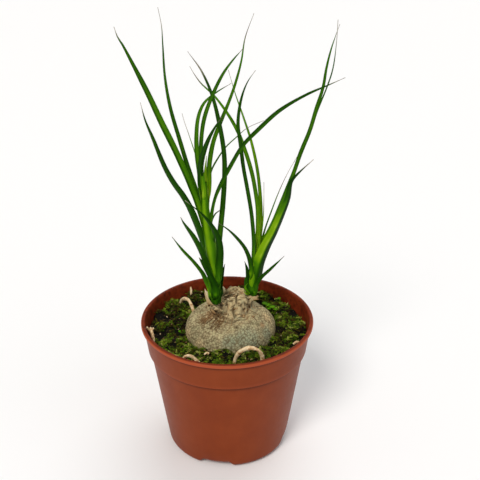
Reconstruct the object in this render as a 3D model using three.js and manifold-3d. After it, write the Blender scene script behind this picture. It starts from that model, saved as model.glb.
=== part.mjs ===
// A young two-headed ponytail palm (Beaucarnea recurvata) in a terracotta-coloured plastic nursery pot.
// The swollen trunk, or caudex, sits half sunk in mossy potting soil. Two tufts of narrow channelled
// leaves grow from its woody crown, and three of its roots loop out of the moss.
// Millimetres, +Z up, -Y towards the viewer. The origin is the centre of the pot's foot, on the table.
import * as THREE from "three";
import { mergeVertices } from "three/addons/utils/BufferGeometryUtils.js";
import Module from "manifold-3d";

const wasm = await Module();
wasm.setup();

// ---- driving dimensions ------------------------------------------------------------------------------

const GAP = 0.3; // between pieces that rest on each other
const TURN = 2 * Math.PI;

const POT = {
  height: 98,
  rimRadius: 60,
  lipHeight: 3.4, // the rolled lip at the top
  lipReach: 1.7, // how far the lip stands out of the collar
  stepHeight: 77, // where the wide collar steps in to the body
  collarFoot: 55.7, // outer radius of the collar, just above the step
  bodyTop: 54.1, // outer radius of the body, just below the step
  bodyFoot: 43.4, // outer radius of the body, at the top of its rounded bottom edge
  edgeRadius: 5.7, // of the rounded bottom edge
  wall: 1.3,
  notches: 4, // the base is pressed up in these places, where it drains
  notchFrom: -101, // degrees: the first notch is just left of the front
  notchHeight: 4.5,
  notchWidth: 25,
  notchSlope: 3.5, // how far each side of a notch leans in
  notchInner: 23, // how close to the axis a notch comes
  drainRadius: 3,
  drainCircle: 31,
  drainSpread: 11, // degrees from the middle of a notch to each of its two holes
  sides: 48,
};

const SOIL_TOP = 84;

const MOSS = {
  top: 87.5, // between the cushions
  riseBehind: 2.6, // it lies this much higher behind the caudex than in front of it
  circles: [[37, 11], [45.5, 13], [52, 16]], // [radius, cushions on it]
  radius: [6, 10], // from the smallest cushion to the largest
  height: [1.6, 4.4],
  around: 72,
  across: 8,
};

// A wave round an outline: it swells by depth, that many times in a turn, first at the angle "from".
const CAUDEX = {
  x: 2, // its axis, from the pot's
  radius: 31,
  waves: [{ times: 2, depth: 0.022, from: 0.3 }, { times: 3, depth: 0.012, from: 0.36 }],
  sides: 36,
};

const CROWN = {
  x: 3.2,
  y: 2.5,
  radius: 14.2,
  top: 112,
  waves: [{ times: 5, depth: 0.07, from: 0.1 }, { times: 9, depth: 0.05, from: 0.17 }],
  sag: 1.6, // its edge is this much lower at the front left
  sagAt: 3.9, // the angle of its lowest place
  flakes: 17,
  flakeLean: [0.25, 0.95], // radians out of upright
  flakeLength: [6, 9.5],
  flakeWidth: [2.8, 4.6],
};

const BLADE = {
  thickness: 0.7,
  tipWidth: 0.9,
  fold: 0.42, // how far an edge rises over the middle, for its distance from it
  faceUp: 0.8, // how far the upper face leans up, for its sideways reach
  sheathSpread: 0.35, // the base is this much wider than the strap
  sheathEnd: 0.25, // the share of the length that the sheath takes
  taper: 2.2, // the higher, the longer the width lasts
  step: 11, // the length between two rings
  steps: [7, 18],
};

// The leaves' routes are given as they look to a viewer whose eye is here. Each point is [right, up, depth]:
// right and up on an upright sheet through the pot's axis, then slid along the line of sight to its depth.
const EYE = new THREE.Vector3(8.9, -537, 425.8);

// ---- colours -----------------------------------------------------------------------------------------

const material = (color, roughness) => new THREE.MeshStandardMaterial({ color, roughness, metalness: 0 });
const terracottaPlastic = material("#8f4527", 0.5);
const wetSoil = material("#2b2018", 0.95);
const mossGreen = material("#3f5a14", 0.95);
const corkyBark = material("#a79d80", 0.85);
const driedRoot = material("#b99c72", 0.85);
const leafGreen = material("#2c5f12", 0.45);
const sheathGreen = material("#4d8a1c", 0.45);

// ---- solids ------------------------------------------------------------------------------------------

// A closed solid from a three.js geometry, facing out whichever way its faces were wound.
function solidOf(geometry) {
  const bare = geometry.clone();
  bare.deleteAttribute("normal");
  bare.deleteAttribute("uv");
  const merged = mergeVertices(bare, 1e-3);
  const vertProperties = merged.attributes.position.array;
  const triVerts = new Uint32Array(merged.index.array);
  const made = new wasm.Manifold(new wasm.Mesh({ numProp: 3, vertProperties, triVerts }));
  if (made.volume() > 0) return made;
  return new wasm.Manifold(new wasm.Mesh({ numProp: 3, vertProperties, triVerts: triVerts.reverse() }));
}

function geometryOf(solid) {
  const { vertProperties, triVerts, numProp, numVert } = solid.getMesh();
  const position = new Float32Array(numVert * 3);
  for (let i = 0; i < numVert; i++) {
    position.set(vertProperties.subarray(i * numProp, i * numProp + 3), i * 3);
  }
  return new THREE.BufferGeometry()
    .setAttribute("position", new THREE.BufferAttribute(position, 3))
    .setIndex(new THREE.BufferAttribute(triVerts, 1));
}

// What is left of a blade after it is cut back is its largest piece. The scraps are dropped.
function largestPiece(solid) {
  return solid.decompose().reduce((a, b) => (a.volume() > b.volume() ? a : b));
}

// A skin over rings of points, all with the same even number of them. An open row of rings is closed at
// each end by a strip that runs across its ring, and a closed row joins its last ring to its first.
function loft(rings, closed = false) {
  const count = rings[0].length;
  const points = rings.flat();
  const index = [];
  const steps = closed ? rings.length : rings.length - 1;
  for (let i = 0; i < steps; i++) {
    const here = i * count;
    const next = ((i + 1) % rings.length) * count;
    for (let j = 0; j < count; j++) {
      const k = (j + 1) % count;
      index.push(here + j, here + k, next + k, here + j, next + k, next + j);
    }
  }
  if (!closed) {
    const last = (rings.length - 1) * count;
    for (let j = 0; j < count / 2 - 1; j++) {
      const [a, b, c, d] = [j, j + 1, count - 2 - j, count - 1 - j];
      index.push(a, c, b, a, d, c);
      index.push(last + a, last + b, last + c, last + a, last + c, last + d);
    }
  }
  return new THREE.BufferGeometry().setFromPoints(points).setIndex(index);
}

// A random draw that is the same each time.
function seeded(seed) {
  let state = seed;
  return () => {
    state = (state * 1664525 + 1013904223) % 4294967296;
    return state / 4294967296;
  };
}

const mix = (a, b, t) => a + (b - a) * t;

// ---- the pot -----------------------------------------------------------------------------------------

// Inner radius of the pot's wall inside the collar.
function collarBore(z) {
  const top = POT.height - POT.lipHeight;
  const rimFoot = POT.rimRadius - POT.lipReach;
  return mix(POT.collarFoot, rimFoot, (z - POT.stepHeight) / (top - POT.stepHeight)) - POT.wall;
}

// The rounded bottom edge, from the foot out to the wall, shrunk inwards by inset.
function bottomEdge(inset) {
  const centre = new THREE.Vector2(POT.bodyFoot - POT.edgeRadius, POT.edgeRadius);
  const radius = POT.edgeRadius - inset;
  return [0, 0.25, 0.5, 0.75, 1].map((t) => {
    const angle = -Math.PI / 2 + (t * Math.PI) / 2;
    return new THREE.Vector2(centre.x + radius * Math.cos(angle), centre.y + radius * Math.sin(angle));
  });
}

const lathe = (profile) => {
  const points = profile.map(([x, y]) => new THREE.Vector2(x, y));
  // LatheGeometry turns about Y, so what it makes is stood up along Z.
  return solidOf(new THREE.LatheGeometry(points, POT.sides)).rotate([90, 0, 0]);
};

// The room inside the pot up to a height, with a clearance to its wall.
function potRoom(top, topRadius, clear = 0) {
  const inset = POT.wall + clear;
  return lathe([
    [0, inset],
    ...bottomEdge(inset),
    [POT.bodyTop - inset, POT.stepHeight - 1.6 - clear],
    [POT.collarFoot - inset, POT.stepHeight],
    [topRadius - clear, top],
    [0, top],
  ]);
}

const notchAngles = Array.from({ length: POT.notches }, (_, i) => POT.notchFrom + (i * 360) / POT.notches);

// The places where the base is pressed up, as solid blocks. Grown by the wall they are the humps inside.
function notchBlocks(grow = 0) {
  const half = POT.notchWidth / 2 + grow;
  const section = new THREE.Shape([
    new THREE.Vector2(-half, -1),
    new THREE.Vector2(half, -1),
    new THREE.Vector2(half - POT.notchSlope, POT.notchHeight + grow),
    new THREE.Vector2(POT.notchSlope - half, POT.notchHeight + grow),
  ]);
  const inner = POT.notchInner - grow;
  const block = new THREE.ExtrudeGeometry(section, { depth: POT.bodyTop - inner, bevelEnabled: false });
  // It is laid down with its section upright, and points away from the axis along -Y.
  block.rotateX(Math.PI / 2);
  block.translate(0, -inner, 0);
  const solid = solidOf(block);
  return notchAngles.map((angle) => solid.rotate([0, 0, angle + 90]));
}

function drains() {
  const { drainRadius, drainCircle, drainSpread, notchHeight, wall } = POT;
  const drill = new THREE.CylinderGeometry(drainRadius, drainRadius, 4 * (notchHeight + wall), 12);
  drill.rotateX(Math.PI / 2);
  drill.translate(drainCircle, 0, 0);
  const solid = solidOf(drill);
  return notchAngles.flatMap((angle) =>
    [-drainSpread, drainSpread].map((turn) => solid.rotate([0, 0, angle + turn])),
  );
}

const without = (solid, cutters) => cutters.reduce((left, cutter) => left.subtract(cutter), solid);

function potSolid() {
  const { height, rimRadius, lipHeight, lipReach, wall } = POT;
  const shell = lathe([
    [0, 0],
    ...bottomEdge(0),
    [POT.bodyTop, POT.stepHeight - 1.2],
    [POT.collarFoot, POT.stepHeight],
    [rimRadius - lipReach, height - lipHeight],
    [rimRadius - 0.3, height - lipHeight + 0.3],
    [rimRadius, height - 0.9],
    [rimRadius - 0.8, height],
    [0, height],
  ]);
  const lipInner = rimRadius - lipReach - wall;
  const room = without(potRoom(height - 1, lipInner), notchBlocks(wall));
  const mouth = lathe([
    [0, height - 1.2],
    [lipInner, height - 1.2],
    [lipInner + 1.2, height + 1],
    [0, height + 1],
  ]);
  return without(shell, [room, mouth, ...notchBlocks(), ...drains()]);
}

// ---- the caudex and its crown ------------------------------------------------------------------------

// The caudex from its underside to the top of the crown: [height, radius]. It is a squat onion with a
// short woody neck that flares into the crown.
const CAUDEX_PROFILE = [
  [70.3, 9], [72, 17], [75, 23.5], [79.5, 28.6], [84, 30.6], [88.5, 31], [93, 30.2], [97, 27.8],
  [100.2, 24], [102.4, 19.6], [103.6, 16], [104.8, 13.6], [106.8, 13.2], [109, 13.9], [111, 14.2],
  [112.2, 13.2], [111.9, 9.5], [110.8, 5],
];
// Between these heights the outline goes over from the bulb's axis and waves to the crown's.
const NECK = [96, 106];
const BELLY = 80; // the rings below this height face down

function swell(waves, angle) {
  return waves.reduce((sum, { times, depth, from }) => sum + depth * Math.cos(times * (angle - from)), 1);
}

function caudexSolid(grow = 0) {
  const rings = CAUDEX_PROFILE.map(([z, radius]) => {
    const lean = THREE.MathUtils.smoothstep(z, ...NECK);
    const [x, y] = [mix(CAUDEX.x, CROWN.x, lean), mix(0, CROWN.y, lean)];
    const below = z < BELLY ? grow : 0;
    return Array.from({ length: CAUDEX.sides }, (_, i) => {
      const angle = (i * TURN) / CAUDEX.sides;
      const r = (radius + grow) * mix(swell(CAUDEX.waves, angle), swell(CROWN.waves, angle), lean);
      const sag = lean * CROWN.sag * Math.max(0, Math.cos(angle - CROWN.sagAt));
      return new THREE.Vector3(x + r * Math.cos(angle), y + r * Math.sin(angle), z - sag - below);
    });
  });
  return solidOf(loft(rings));
}

// The dried bases of fallen leaves: pointed flakes that stand round the crown's edge and sink into it.
function crownFlakes() {
  const random = seeded(7);
  return Array.from({ length: CROWN.flakes }, (_, i) => {
    const angle = ((i + 0.5 * random()) * TURN) / CROWN.flakes;
    const lean = mix(...CROWN.flakeLean, random());
    const length = mix(...CROWN.flakeLength, random());
    const width = mix(...CROWN.flakeWidth, random());
    const out = new THREE.Vector3(Math.cos(angle), Math.sin(angle), 0);
    const along = new THREE.Vector3(-out.y, out.x, 0);
    const rise = new THREE.Vector3(0, 0, Math.cos(lean)).addScaledVector(out, Math.sin(lean));
    const foot = new THREE.Vector3(CROWN.x, CROWN.y, CROWN.top - 4).addScaledVector(out, CROWN.radius - 3.5);
    const rings = [0, 0.55, 1].map((t) => {
      const curl = -0.8 * t * t;
      const centre = foot.clone().addScaledVector(rise, length * t).addScaledVector(out, curl);
      const half = (width / 2) * (1 - 0.85 * t * t) + 0.2;
      const thick = mix(0.8, 0.4, t);
      const corner = (x, y) => centre.clone().addScaledVector(along, x).addScaledVector(out, y);
      return [corner(half, 0), corner(0, thick), corner(-half, 0), corner(0, -thick)];
    });
    return solidOf(loft(rings));
  });
}

// ---- the shoots and their leaves ---------------------------------------------------------------------

function seenAt([right, up, depth]) {
  return new THREE.Vector3(right, 0, up)
    .sub(EYE)
    .multiplyScalar((depth - EYE.y) / -EYE.y)
    .add(EYE);
}

function routeOf(points) {
  return new THREE.CatmullRomCurve3(points.map(seenAt), false, "centripetal");
}

// Where a swept piece is grown by a gap, only its first and last rings move outwards along it.
function endReach(i, steps) {
  if (i === 0) return -1;
  return i === steps ? 1 : 0;
}

// A number that is given at even steps from 0 to 1, read in between them.
function along01(values, t) {
  const at = t * (values.length - 1);
  const low = Math.min(Math.floor(at), values.length - 2);
  return mix(values[low], values[low + 1], at - low);
}

// The tight bundle of leaf bases in the middle of a shoot, as one stem.
function stemSolid({ route, radii }, grow = 0) {
  const curve = routeOf(route);
  const steps = 2 * (route.length - 1);
  const sides = 10;
  const rings = Array.from({ length: steps + 1 }, (_, i) => {
    const t = i / steps;
    const radius = along01(radii, t) + grow;
    const along = curve.getTangent(t);
    const centre = curve.getPoint(t).addScaledVector(along, endReach(i, steps) * grow);
    const across = new THREE.Vector3(0, 1, 0).cross(along).normalize();
    const back = new THREE.Vector3().crossVectors(along, across);
    return Array.from({ length: sides }, (_, j) => {
      const angle = (j * TURN) / sides;
      return centre
        .clone()
        .addScaledVector(across, radius * Math.cos(angle))
        .addScaledVector(back, radius * Math.sin(angle));
    });
  });
  return solidOf(loft(rings));
}

// How wide a blade is along its length: full over its sheath, then an even strap that runs out to a point.
function bladeWidth(width, t) {
  const sheath = 1 + BLADE.sheathSpread * (1 - THREE.MathUtils.smoothstep(t, 0, BLADE.sheathEnd));
  return Math.max(BLADE.tipWidth, width * sheath * (1 - Math.pow(t, BLADE.taper)));
}

// A leaf is a long channelled blade. Its upper face looks towards the azimuth it is given, in degrees,
// or turns from one azimuth at its base to another at its tip.
function leafSolid({ route, width, faces }, grow = 0) {
  const curve = routeOf(route);
  const steps = THREE.MathUtils.clamp(Math.round(curve.getLength() / BLADE.step), ...BLADE.steps);
  const azimuths = [faces].flat();
  const rings = Array.from({ length: steps + 1 }, (_, i) => {
    const t = i / steps;
    const along = curve.getTangentAt(t);
    const centre = curve.getPointAt(t).addScaledVector(along, endReach(i, steps) * grow);
    const azimuth = THREE.MathUtils.degToRad(mix(azimuths.at(0), azimuths.at(-1), t));
    const up = new THREE.Vector3(Math.cos(azimuth), Math.sin(azimuth), BLADE.faceUp);
    up.addScaledVector(along, -up.dot(along)).normalize();
    const across = new THREE.Vector3().crossVectors(along, up);
    const half = bladeWidth(width, t) / 2;
    const edge = half * BLADE.fold;
    const corner = (x, y) => centre.clone().addScaledVector(across, x).addScaledVector(up, y);
    const under = -BLADE.thickness - grow;
    return [
      corner(-half - grow, edge + grow),
      corner(0, grow),
      corner(half + grow, edge + grow),
      corner(half + grow, edge + under),
      corner(0, under),
      corner(-half - grow, edge + under),
    ];
  });
  return solidOf(loft(rings));
}

// Each shoot has a stem, with one radius for each point of its route, and its leaves, youngest first.
const SHOOTS = {
  left_shoot: {
    stem: {
      route: [
        [-7.6, 108.5, -4], [-7.8, 118, -4], [-8.6, 134, -4], [-10.6, 152, -3], [-12.8, 170, -1],
        [-14, 186, 0], [-13.6, 200, 0],
      ],
      radii: [3, 3.9, 4.1, 3.8, 3.1, 2.3, 1.2],
    },
    leaves: [
      {
        route: [[-13.4, 186, 0], [-13.2, 198, 0.5], [-13.4, 208, 1], [-12.4, 218, 1]],
        width: 3.2,
        faces: -80,
      },
      {
        route: [
          [-12.4, 180, 1.5], [-11, 200, 2], [-10.6, 212, 2], [-8, 227, 3], [-4, 238.6, 4],
          [2, 253.7, 6], [6.2, 266, 8], [9.8, 280, 10], [11.9, 293.5, 12], [17.2, 308.5, 14],
        ],
        width: 3.6,
        faces: [-110, -80],
      },
      {
        route: [
          [-12, 176, 3.5], [-10.9, 198, 5.5], [-9.4, 208, 7.5], [-4.5, 217.5, 11], [0.3, 224.5, 15],
          [7, 231, 20], [13, 236.5, 26], [23.7, 241.7, 36],
        ],
        width: 2.3,
        faces: -120,
      },
      {
        route: [
          [-14.6, 184, -1.5], [-15.8, 205, -3.5], [-16.2, 219, -5], [-15.4, 232.5, -7],
          [-13.4, 243.6, -9], [-8.6, 257, -13], [-1.5, 271.5, -19], [4.5, 280, -24], [10.5, 287, -30],
        ],
        width: 3.1,
        faces: [-60, -90],
      },
      {
        route: [
          [-15.4, 182, 1.5], [-17.2, 205, 1.5], [-18.5, 218, 3], [-18.7, 231, 6], [-17.3, 243.6, 11],
          [-13.8, 252.5, 17], [-7, 259, 25], [3.5, 265.7, 36],
        ],
        width: 3.2,
        faces: -80,
      },
      {
        route: [
          [-13, 168, -3.5], [-15, 186, -4.5], [-16.6, 199, -7], [-16.6, 209, -9.5], [-15.3, 217, -12],
          [-12, 227, -16], [-7.3, 236.5, -21], [-2.5, 244, -26],
        ],
        width: 4.6,
        faces: 80,
      },
      {
        route: [
          [-14.8, 178, 3], [-16.9, 203, 5], [-19, 216.5, 7], [-22.7, 230, 10], [-26.3, 242, 14],
          [-27.3, 246.5, 16],
        ],
        width: 1.8,
        faces: -45,
      },
      {
        route: [
          [-12.6, 158, 1.5], [-16.6, 180, 5], [-20.4, 195, 9], [-24.7, 210, 15], [-29.8, 230, 23],
          [-34.6, 250, 31], [-37.2, 270, 40], [-37.7, 290, 49], [-38, 301, 54], [-39.8, 312, 58],
        ],
        width: 4.2,
        faces: [-40, -70],
      },
      {
        route: [
          [-11.6, 146, -1], [-15.4, 168, -1], [-19.5, 185, 0], [-24.5, 200, 2], [-32, 220, 5],
          [-40.6, 240, 8], [-48.7, 260, 11], [-57.6, 280, 14], [-62, 289.5, 15], [-64.8, 294.5, 16],
          [-66.5, 300.5, 17],
        ],
        width: 5,
        faces: [-30, -60],
      },
      {
        route: [
          [-10.6, 156, -2], [-9.4, 174, -3], [-7.2, 187.5, -5], [-2.8, 199, -8], [3.7, 212, -11],
          [11, 225, -14], [20.8, 235.8, -17], [33.5, 248, -20], [50, 258.4, -24], [64.3, 265, -27],
          [73.5, 269.3, -29],
        ],
        width: 3.9,
        faces: [150, 120],
      },
      {
        route: [
          [-7.5, 142, -1], [-5, 157, 1], [-3.5, 171, 2.5], [-2.1, 186, 4], [-1, 205, 4.5],
          [-1.3, 220, 2.5], [-4.2, 240, -1], [-8.4, 258, -5], [-14.5, 273, -10], [-22.8, 285.5, -16],
        ],
        width: 3.3,
        faces: [200, 240],
      },
      {
        route: [[-10.4, 162, 2], [-9.6, 171, 4], [-7.4, 177, 7], [-4.4, 179.6, 11], [-0.7, 181.6, 16]],
        width: 1.8,
        faces: -140,
      },
      {
        route: [
          [-6.4, 122, -6.5], [-4.6, 138, -8.5], [-3.8, 149, -10.5], [-6, 159, -13], [-10, 168, -16.5],
          [-16, 176.5, -21], [-22, 182.5, -25.5], [-27, 187, -29],
        ],
        width: 4.4,
        faces: [95, 60],
      },
      {
        route: [
          [-10.3, 130, -4], [-13.4, 144.5, -3], [-17.2, 160, 0], [-23.8, 180, 6], [-28.6, 190, 9],
          [-34, 198.5, 12], [-39.6, 210, 16], [-46.4, 230, 23], [-50.6, 242, 27], [-53, 253.5, 30],
        ],
        width: 4.6,
        faces: [35, 60],
      },
      {
        route: [
          [-10.2, 124, -6.5], [-13.6, 138, -8.5], [-17.7, 150, -11.5], [-22.2, 160, -15],
          [-28.4, 170.5, -19], [-30.4, 175, -21],
        ],
        width: 4.6,
        faces: [40, 30],
      },
      {
        route: [
          [-6.8, 113, -7.5], [-8.6, 122, -9.5], [-11.8, 130.5, -11.5], [-15.5, 138.5, -14],
          [-18.8, 145, -16],
        ],
        width: 4.6,
        faces: [80, 60],
      },
      {
        route: [[-5.6, 114, -3], [-3.7, 125, -2.5], [-2.5, 134, -1.5], [-1.3, 140, -0.5]],
        width: 2.8,
        faces: 190,
      },
      {
        route: [
          [-9.4, 113, -2], [-12.4, 122, -1.5], [-16, 130.5, -2], [-22, 140, -4], [-29.8, 150, -7],
          [-36.5, 160.5, -10],
        ],
        width: 4,
        faces: [0, -20],
      },
    ],
  },
  right_shoot: {
    stem: {
      route: [
        [16.6, 112, 6], [17, 119, 6], [17.8, 130, 6], [19.2, 141, 6], [20.6, 152, 6], [21.8, 162, 6],
      ],
      radii: [2.6, 3.7, 3.7, 3.2, 2.3, 1.1],
    },
    leaves: [
      {
        route: [[21.4, 148, 7], [22.8, 160, 8], [24.2, 174, 9], [24.5, 188, 10], [24.4, 200, 11]],
        width: 2.2,
        faces: -90,
      },
      {
        route: [
          [20.4, 146, 7], [21.2, 156, 9], [22.6, 172, 13], [22.1, 189, 17], [20, 208.5, 22],
          [15.8, 228.5, 27], [11.3, 243, 30], [5.8, 259.6, 33], [1.7, 274.3, 35],
        ],
        width: 2.5,
        faces: [-90, -60],
      },
      {
        route: [
          [19.2, 143, 5], [20.2, 156, 5], [20.6, 170, 5.5], [20.3, 181, 6], [18.8, 193, 6],
          [16.4, 206, 7], [12.8, 219, 9], [7.9, 233, 12], [1.8, 244.8, 16], [-7.4, 258, 22],
          [-15.5, 266, 27], [-19.9, 272.8, 30], [-21.8, 276.5, 32],
        ],
        width: 3,
        faces: [-70, -60],
      },
      {
        route: [
          [20.2, 142, 7], [26, 158, 8.5], [32.3, 174, 10], [38.3, 191, 13], [43.6, 206, 16],
          [47.6, 220, 19], [53, 235, 22], [56.8, 250.3, 25], [60.2, 263, 28], [61.7, 275, 31],
          [64.3, 288, 34], [68.5, 302, 37],
        ],
        width: 3.7,
        faces: [-130, -110],
      },
      {
        route: [
          [20.6, 143, 9], [27.6, 160, 12], [34, 176, 16], [39.6, 190.5, 20], [45, 205, 25],
          [49.6, 220, 30], [54.6, 235, 35], [58, 248, 40], [63.6, 262, 46], [66.3, 274.4, 51],
          [67, 290, 57], [67.3, 304.7, 62],
        ],
        width: 3.5,
        faces: [-130, -110],
      },
      {
        route: [
          [19.6, 139, 9.5], [22.4, 152, 13], [25.5, 166, 18], [29.5, 179, 23], [34, 192.5, 28],
          [39.5, 206, 34], [46, 218.7, 40],
        ],
        width: 2.8,
        faces: -110,
      },
      {
        route: [
          [17.8, 134, 4], [18.5, 147, 2], [18, 161, 0.5], [16.4, 178, -1.5], [13.7, 195, -3],
          [11.1, 210, -5], [9.3, 225, -6], [7.7, 238, -7], [8.3, 248, -8], [10.6, 259, -10],
          [13.8, 267, -12], [18.4, 273.8, -14],
        ],
        width: 3.2,
        faces: [110, 80],
      },
      {
        route: [
          [18.8, 126, 3.5], [22.4, 139, 2.5], [27.2, 151.5, 0.5], [32.3, 163.5, -2], [36.8, 176, -5],
          [40.2, 188, -8], [42.2, 200, -11], [46, 205.3, -13], [56, 215.6, -17],
        ],
        width: 6.6,
        faces: [150, 170],
      },
      {
        route: [
          [16.6, 127, 3], [16.4, 137, 1], [15.2, 144, -1], [12.3, 151.5, -4], [7.6, 158.3, -8],
          [1.4, 165.3, -13], [-5.5, 170.8, -18],
        ],
        width: 3.8,
        faces: [60, 30],
      },
      {
        route: [[15.4, 116, 5], [14.3, 127, 4], [13.5, 136, 3.5], [12, 142, 3]],
        width: 2.8,
        faces: 10,
      },
      {
        route: [
          [17.4, 114, 4.5], [19.8, 122.5, 3], [23, 128.4, 1.5], [29, 135, -1], [34, 140.6, -3],
          [38.8, 146, -5],
        ],
        width: 3.4,
        faces: [190, 200],
      },
    ],
  },
};

// ---- the roots that loop out of the moss -------------------------------------------------------------

// [x, y, z] along each root. Both ends go down into the soil, but for the one that leaves the caudex.
const ROOTS = {
  root_loop_front: {
    radius: 1.25,
    route: [
      [4.4, -41, 78], [4.9, -41, 86], [6.2, -41, 92], [9, -41.5, 96.6], [13, -42, 99.6], [17, -42, 100],
      [20.8, -42, 98.2], [23.2, -41.5, 94], [23.8, -41, 88], [23.4, -40.5, 78],
    ],
  },
  root_loop_front_left: {
    radius: 0.95,
    route: [
      [-29.6, -41, 78], [-29.2, -41, 87], [-27.4, -41.5, 92.8], [-24, -41.5, 93.4], [-20.8, -41.5, 91],
      [-18, -41.5, 87], [-17, -41, 78],
    ],
  },
  root_arch_back_left: {
    radius: 1.05,
    route: [
      [-22.5, 13, 80], [-24.2, 15.5, 92], [-25.8, 18, 98], [-28.2, 22, 101], [-31.2, 26.5, 99.6],
      [-34, 30.5, 94.5], [-35.4, 32.5, 87], [-35.8, 33, 78],
    ],
  },
  root_stub_left: {
    radius: 0.9,
    route: [
      [-49, -16, 78], [-50.6, -13.6, 87.5], [-51.8, -10.6, 91], [-53, -6.6, 92.4], [-53.8, -2.6, 90],
      [-53.4, -0.6, 84], [-53, 0, 78],
    ],
  },
};

function rootSolid({ radius, route }, grow = 0) {
  const curve = new THREE.CatmullRomCurve3(route.map((p) => new THREE.Vector3(...p)), false, "centripetal");
  const sides = 7;
  const section = new THREE.Shape(
    Array.from({ length: sides }, (_, j) => {
      const angle = (j * TURN) / sides;
      return new THREE.Vector2((radius + grow) * Math.cos(angle), (radius + grow) * Math.sin(angle));
    }),
  );
  const steps = 3 * (route.length - 1);
  return solidOf(new THREE.ExtrudeGeometry(section, { steps, extrudePath: curve, bevelEnabled: false }));
}

// ---- soil and moss -----------------------------------------------------------------------------------

function soilSolid() {
  return without(potRoom(SOIL_TOP, collarBore(SOIL_TOP), GAP), notchBlocks(POT.wall + GAP));
}

// Moss grows in low round cushions, drawn by a seeded rule over the soil.
function mossCushions() {
  const random = seeded(21);
  const cushions = [];
  for (const [circle, count] of MOSS.circles) {
    for (let i = 0; i < count; i++) {
      const angle = ((i + 0.6 * random()) * TURN) / count;
      const r = circle + 4 * (random() - 0.5);
      const radius = mix(...MOSS.radius, random());
      const height = mix(...MOSS.height, random());
      cushions.push({ x: r * Math.cos(angle), y: r * Math.sin(angle), radius, height });
    }
  }
  return cushions;
}

const CUSHIONS = mossCushions();

function mossHeight(x, y) {
  const rise = MOSS.riseBehind * THREE.MathUtils.smoothstep(y, 5, 50);
  const heights = CUSHIONS.map((cushion) => {
    const away = Math.hypot(x - cushion.x, y - cushion.y) / cushion.radius;
    return cushion.height * (1 - away * away);
  });
  return MOSS.top + rise + Math.max(0, ...heights);
}

// The mat fills the ring between the caudex and the pot's wall.
function mossSolid() {
  const base = SOIL_TOP + GAP;
  const outer = collarBore(base) - GAP;
  const inner = CAUDEX.radius - 4;
  const rings = Array.from({ length: MOSS.around }, (_, i) => {
    const angle = (i * TURN) / MOSS.around;
    const at = (r, z) => new THREE.Vector3(r * Math.cos(angle), r * Math.sin(angle), z);
    const top = Array.from({ length: MOSS.across + 1 }, (_, j) => {
      const r = mix(outer, inner, j / MOSS.across);
      return at(r, mossHeight(r * Math.cos(angle), r * Math.sin(angle)));
    });
    return [at(inner, base), at(outer, base), ...top];
  });
  return solidOf(loft(rings, true));
}

// ---- putting it together -----------------------------------------------------------------------------

const palm = new THREE.Group();

function place(name, solid, look) {
  const mesh = new THREE.Mesh(geometryOf(solid), look);
  mesh.name = name;
  palm.add(mesh);
}

place("pot", potSolid(), terracottaPlastic);

// The caudex stands in a plain hole in the soil and the moss, and so does each root.
const caudexHole = caudexSolid(GAP);
const rootHoles = Object.values(ROOTS).map((root) => rootSolid(root, GAP));
place("soil", without(soilSolid(), [caudexHole, ...rootHoles]), wetSoil);
place("moss", largestPiece(without(mossSolid(), [caudexHole, ...rootHoles])), mossGreen);
for (const [name, root] of Object.entries(ROOTS)) {
  place(name, largestPiece(rootSolid(root).subtract(caudexHole)), driedRoot);
}

// Each shoot's stem stands in a plain socket in the crown. A leaf is cut back from the stem and from the
// younger leaves inside it, so that its base clasps them.
const taken = [];
for (const [shoot, { stem, leaves }] of Object.entries(SHOOTS)) {
  place(`${shoot}_stem`, stemSolid(stem), sheathGreen);
  taken.push(stemSolid(stem, GAP));
  leaves.forEach((leaf, i) => {
    const name = `${shoot}_leaf_${String(i + 1).padStart(2, "0")}`;
    place(name, largestPiece(without(leafSolid(leaf), taken)), leafGreen);
    taken.push(leafSolid(leaf, GAP));
  });
}
const woody = crownFlakes().reduce((sum, flake) => sum.add(flake), caudexSolid());
place("caudex", largestPiece(without(woody, taken)), corkyBark);

export default palm;
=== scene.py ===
# A young two-headed ponytail palm (Beaucarnea recurvata) in a terracotta-coloured plastic nursery pot.
# The CAD frame gives each piece its place and size, and this script gives it its finish. Lengths are
# millimetres in the frame's own axes, +Z up and -Y towards the viewer, until a piece is put in metres.
import math
import random
from collections import namedtuple

import bmesh
import bpy
import numpy as np
from mathutils import Matrix, Vector, noise


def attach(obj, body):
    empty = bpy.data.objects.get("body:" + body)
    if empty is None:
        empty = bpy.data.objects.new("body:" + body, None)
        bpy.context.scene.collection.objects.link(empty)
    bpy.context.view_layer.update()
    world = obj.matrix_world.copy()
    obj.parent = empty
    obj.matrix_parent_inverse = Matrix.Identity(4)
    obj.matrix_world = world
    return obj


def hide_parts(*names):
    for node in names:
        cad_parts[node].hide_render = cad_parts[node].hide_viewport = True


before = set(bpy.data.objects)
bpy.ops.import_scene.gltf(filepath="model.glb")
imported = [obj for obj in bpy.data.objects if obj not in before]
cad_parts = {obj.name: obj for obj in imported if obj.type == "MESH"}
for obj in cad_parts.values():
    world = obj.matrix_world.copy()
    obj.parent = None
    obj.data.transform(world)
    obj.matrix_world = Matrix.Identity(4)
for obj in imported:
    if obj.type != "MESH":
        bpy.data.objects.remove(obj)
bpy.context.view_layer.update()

MM = 0.001
TURN = 2 * math.pi

# ---- camera, floor and light -------------------------------------------------------------------------

CAMERA = {"eye": (8.9, -537.0, 425.8), "target": (8.9, 0, 158.1), "lens": 67.35}
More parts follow.
